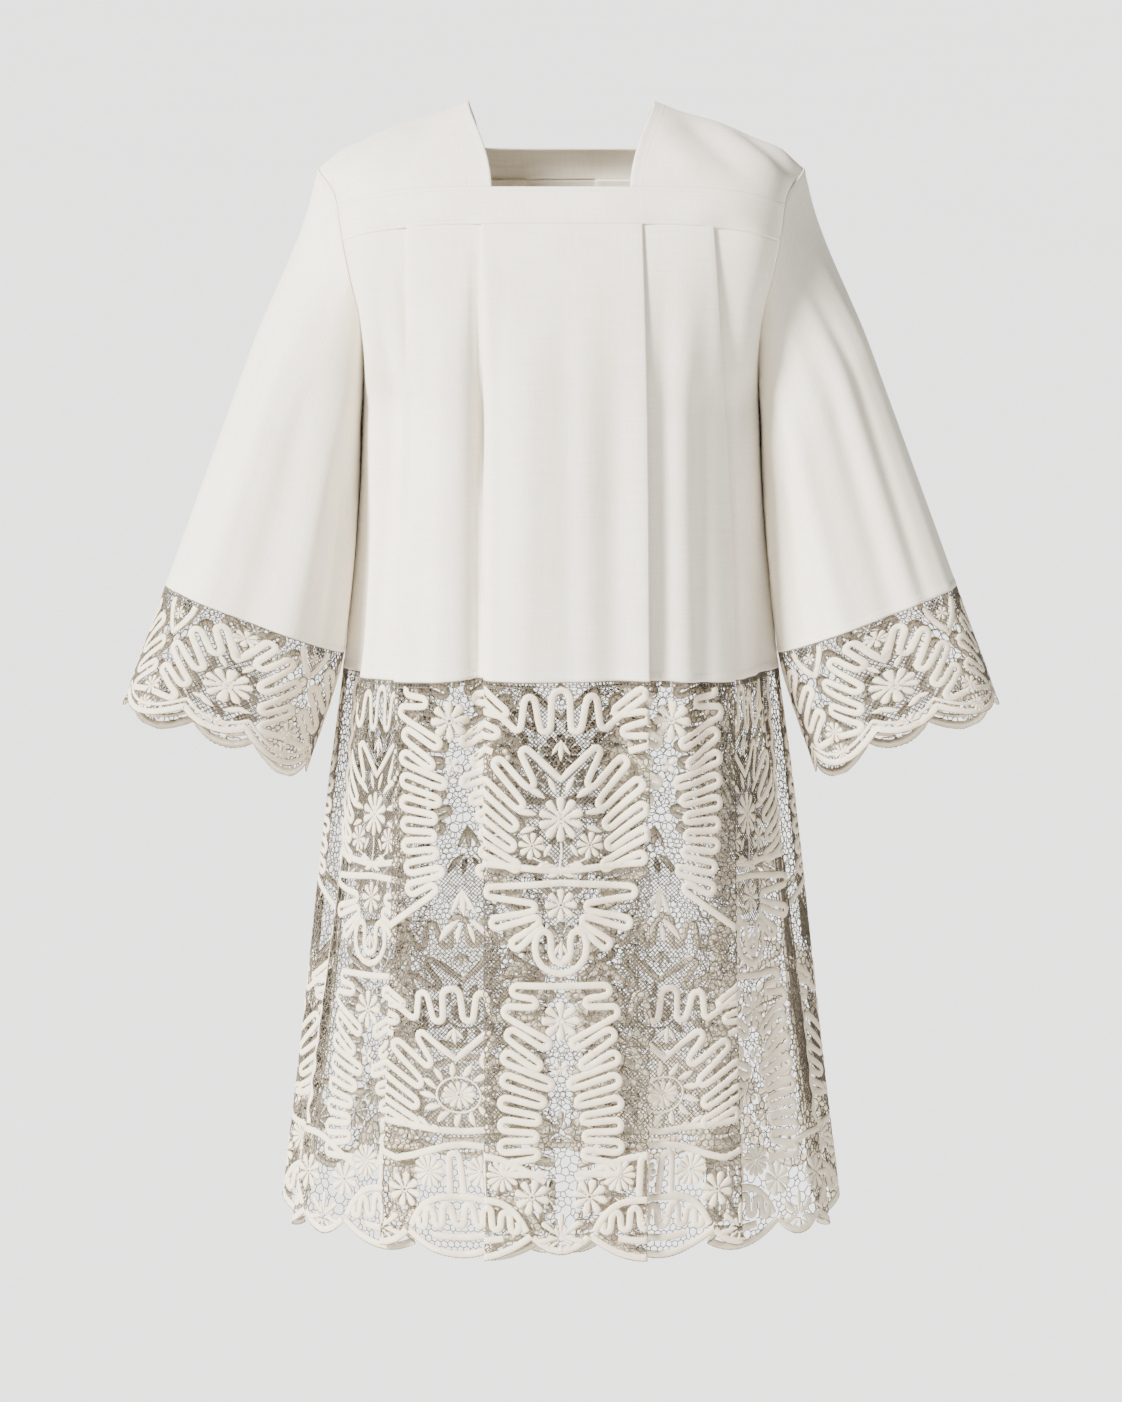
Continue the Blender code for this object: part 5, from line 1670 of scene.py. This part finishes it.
def edgeThreads(panel):
    # the footing below the seam, which is a cord, a row of small holes and a second cord, and
    # tiny loops along the hem
    low, high, pitch = panel["low"] + 1, panel["high"] - 0.5, 3.3
    made = [lineOf(np.arange(low, high, 5.0), y) for y in (1.0, 5.2)]
    made += [np.array([[at, 0.6], [at, 5.4]]) for at in np.arange(low + 0.5, high, 3.4)]
    x = np.arange(low + 1, high - 1, pitch / 4)
    rise = 0.5 - 0.5 * np.cos(2 * pi * x / pitch)
    return made, [lineOf(x, panel["hem"](x) - 0.6 + rise)]


# The tape layers: the share of the width on top, the lift over the cloth, and the further lift
# that goes up in so many steps from one tape to the next, so that crossing tapes stay apart.
tapeLayers = dict(
    Tapes=dict(top=0.74, lift=0.00012, further=0.00007, steps=4),
    Flowers=dict(top=0.45, lift=0.00035, further=0.00006, steps=5),
)


def makeLace(name, nodes, pattern, drape, zones, flat, restsOn):
    look = dict(threadLift=-0.0001, edgeLift=0.0001, edgeWidth=1.1, crossStep=1.6,
                shows=0.303, coarse=8.0)
    width, height = 0.001 * lace["tapeWidth"], 0.001 * lace["tapeHeight"]
    tapes, flowers = ([np.column_stack(shape) for shape in pattern[part]]
                      for part in ("tapes", "flowers"))
    tapes = refined(tapes, zones, fineStep, look["coarse"])
    group = []
    for part, shapes in (("Tapes", tapes), ("Flowers", flowers)):
        layer = tapeLayers[part]
        values = {"Width": width, "Height": height, "Top Width": layer["top"] * width,
                  "Finish": tapeFinish}
        lines = [lifted(shape, layer["lift"] + layer["further"] * (k % layer["steps"]))
                 for k, shape in enumerate(shapes)]
        sizes = [shape[:, 2] for shape in shapes]
        group.append(grown(name + part, lines, tapeTree, values, sizes))
    ground, net = (crossedFolds(pattern[part], zones, look["crossStep"])
                   for part in ("ground", "net"))
    footing, loops = edgeThreads(pattern["panel"])
    edging = crossedFolds(footing, zones, look["crossStep"])
    edging += refined(loops, zones, 0.825, 0.9, bend=0.6)
    for part, lines, lift, wide in (("Ground", ground, look["threadLift"], lace["threadWidth"]),
                                    ("Net", net, look["threadLift"], lace["netWidth"]),
                                    ("Edging", edging, look["edgeLift"], look["edgeWidth"])):
        values = {"Width": 0.001 * wide, "Finish": threadInPaintedShade}
        lines = [lifted(line, lift) for line in lines]
        group.append(grown(name + part, lines, threadTree, values))
    for piece in group:
        wrap(piece, drape)
        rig.ride(piece, "root")
        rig.slot(piece, "lace")
        print(piece.name, trianglesOf(piece))
    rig.replaces(group[0], *nodes)
    showing = 0.5 * sum(face.area for face in group[0].data.polygons)
    area = min(max(showing, look["shows"] * flat[0] * flat[1]), flat[0] * flat[1])
    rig.sheet(group[0], flat=flat, area=area, held="hung", rests_on=restsOn,
             with_pieces=group[1:])
    across, down = (round(1000 * length) for length in flat)
    print(name, "shows", round(showing, 4), "square metres of tape in", across, "by", down, "mm")


skirtFlat = (0.002 * lace["halfWidth"], 0.001 * lace["depth"])
for name, node, front, body in (("skirtFront", "lace_skirt_front", True, "bodyFront"),
                                ("skirtBack", "lace_skirt_back", False, "bodyBack")):
    makeLace(name, [node], skirtPattern, *skirtDrape(front), skirtFlat, [body])
print("lace skirt made")

# The cuffs' lace, also in millimetres: four repeats round each sleeve. Along the sleeve its
# depth is measured in shares of unit.
cuff = dict(
    length=500.0, depth=128.65, unit=415.0, start=1.0002, repeats=4, narrowShare=0.36,
    narrowDrop=11.62, wideDrop=18.68, cell=5.3, clear=7.0, firstHoles=26,
)
cuffAxes = np.arange(0, 5) * cuff["length"] / cuff["repeats"]
columnAxes = cuffAxes[:-1] + 0.5 * cuff["length"] / cuff["repeats"]


def cuffHem(x):
    return scallops(x / cuff["length"] * cuff["repeats"], cuff["narrowShare"] / 2, cuff)


cuffPanel = dict(low=0.0, high=cuff["length"], depth=cuff["depth"], hem=cuffHem)


def cuffShapes():
    # four medallions of fingers round the sleeve, with an open column between each two
    made, flowers = [], []
    fingers = bothSides(hairpins([
        (20, 15, -54, 5.0), (14, 44, 118, 4.8), (40, 27, -42, 5.2), (21, 64, 144, 4.8),
        (55, 49, -22, 5.2), (27, 83, 164, 4.8), (58, 76, -4, 5.2), (33, 99, 182, 4.6),
    ], start=(0, 44), end=(58, 102)))
    medallion = daisy(0, 72, 17.0, 10) + daisy(0, 72, 7.0, 6, 0.5)
    medallion += mirrored([leaf(3, 97, -22, 15, 6.4, -0.4), leaf(5, 54, -64, 12, 5.4, 0.3),
                           leaf(11, 91, 10, 10, 5.0, -0.4)])
    medallion += petals(0, 112.5, 1.5, 7.5, 3.6, 7, 0.5) + daisy(0, 19, 8.5, 8)
    for axis in cuffAxes:
        made += full([fingers + [axis, 0]])
        flowers += moved(medallion, axis, 0)
    crown = soften(evenly(np.array([[0, 37], [8, 28], [15, 15], [17, 5.0]])), 3)
    column = daisy(0, 17, 6.5, 6) + daisy(0, 96, 10.0, 8) + petals(0, 117.0, 2.0, 9.0, 3.6, 9, 0.5)
    for axis in columnAxes:
        made += full([bothSides(crown) + [axis, 0]])
        flowers += moved(column, axis, 0)
    near = np.arange(0, cuff["length"] + 0.1, fineStep)
    made += full([lineOf(near, cuffHem(near) - lace["tapeInside"])])
    made.append((lineOf(near, cuffHem(near) - 11.8), np.full(len(near), 0.5)))
    return cutToLace(made, cuffPanel), cutToLace(flowers, cuffPanel)


def cuffAreas():
    window = bothSides(np.array([
        [0, 46], [12, 20], [20, 16], [17, 44], [26, 52], [24, 66], [33, 68], [31, 83], [37, 88],
        [33, 97], [28, 99], [0, 101.0],
    ]))
    crown = np.array([[0, 33], [-7, 25], [-13, 8], [13, 8], [7, 25.0]])
    return [area + [axis, 0] for area, places in ((window, cuffAxes), (crown, columnAxes))
            for axis in places]


def cuffPoints():
    # the solid's large holes, and small ones packed round them
    big = [(axis + x, cuff["firstHoles"] + y) for axis in columnAxes for x, y in holeSpots(3)]
    made, big = list(big), np.array(big)
    for spots in packedRows(0, cuff["length"], cuff["depth"], cuff["cell"]):
        gaps = np.linalg.norm(spots[:, None] - big[None], axis=2).min(axis=1)
        made += list(map(tuple, spots[gaps > cuff["clear"]]))
    return np.array(made)


cuffPattern = patternOf(*cuffShapes(), cuffAreas(), cuffPoints(), cuffPanel)


def cuffDrape(right):
    step = 0.004
    downs = np.arange(-1, 34) * step
    shares = np.linspace(0, 1, 241)
    points, normals = sleeveNet(cuff["start"] + downs * 1000 / cuff["unit"], shares, right)
    flat = np.broadcast_to(shares * 0.001 * cuff["length"], points.shape[:2])
    return dict(flat=flat, points=points, normals=normals, top=downs[0], step=step), []


cuffFlat = (0.001 * cuff["length"], 0.001 * cuff["depth"])
for name, node, right, sleeve in (("cuffRight", "cuff_right_", True, "sleeveRight"),
                                  ("cuffLeft", "cuff_left_", False, "sleeveLeft")):
    nodes = [node + "front", node + "back"]
    makeLace(name, nodes, cuffPattern, *cuffDrape(right), cuffFlat, [sleeve])
print("cuffs made")

view = dict(target=(0.0, -0.10, -0.555), distance=5.0, elevation=10.0, lens=91.05)
camera = bpy.data.objects.new("camera", bpy.data.cameras.new("camera"))
bpy.context.collection.objects.link(camera)
rise = radians(view["elevation"])
target = Vector(view["target"])
camera.location = target + Vector((0, -cos(rise), sin(rise))) * view["distance"]
camera.rotation_euler = (pi / 2 - rise, 0, 0)
camera.data.sensor_fit = "VERTICAL"
camera.data.sensor_height = 24.0
camera.data.sensor_width = 24.0 * 1122 / 1402
camera.data.lens = view["lens"]
camera.data.clip_end = 300.0
bpy.context.scene.camera = camera


def paleFloor():
    # matt pale floor with a faint unevenness
    look = dict(colour="f8f8f7", shade="f4f4f3", size=80.0, z=-2.2)
    made, tree = newFinish("paleMattFloor")
    place = addNode(tree, "ShaderNodeTexCoord").outputs["Object"]
    tone = noiseAt(tree, place, 0.6, 2.0)
    paint(tree, tone, look, {"Roughness": 0.95, "Specular IOR Level": 0.1})
    size, z = look["size"], look["z"]
    points = [(-size, -size, z), (size, -size, z), (size, size, z), (-size, size, z)]
    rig.stage(newPiece("floor", points, [(0, 1, 2, 3)], made))


def softSun(name, azimuth, elevation, strength, spread, colour):
    # azimuth 0 shines from the front and -90 from the wearer's right
    made = bpy.data.objects.new(name, bpy.data.lights.new(name, "SUN"))
    made.data.energy = strength
    made.data.angle = radians(spread)
    made.data.color = colour
    turn, up = radians(azimuth), radians(elevation)
    way = Vector((sin(turn) * cos(up), -cos(turn) * cos(up), sin(up)))
    made.rotation_euler = way.to_track_quat("Z", "Y").to_euler()
    bpy.context.collection.objects.link(made)


paleFloor()
softSun("keyFromLeft", -54, 33, 16.5, 14, (1.0, 0.99, 0.975))
softSun("fillFromFront", 15, 20, 0.3, 50, (0.98, 0.99, 1.0))
world = bpy.data.worlds.new("softRoom")
world.use_nodes = True
background = world.node_tree.nodes["Background"]
background.inputs["Color"].default_value = (0.94, 0.96, 1.0, 1.0)
background.inputs["Strength"].default_value = 0.13
bpy.context.scene.world = world

with open("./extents.json", "w") as out:
    json.dump({"cad": [list(map(float, corner)) for corner in cadBox],
               "visual": [list(map(float, corner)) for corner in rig.bounds()]}, out)
print("scene made")
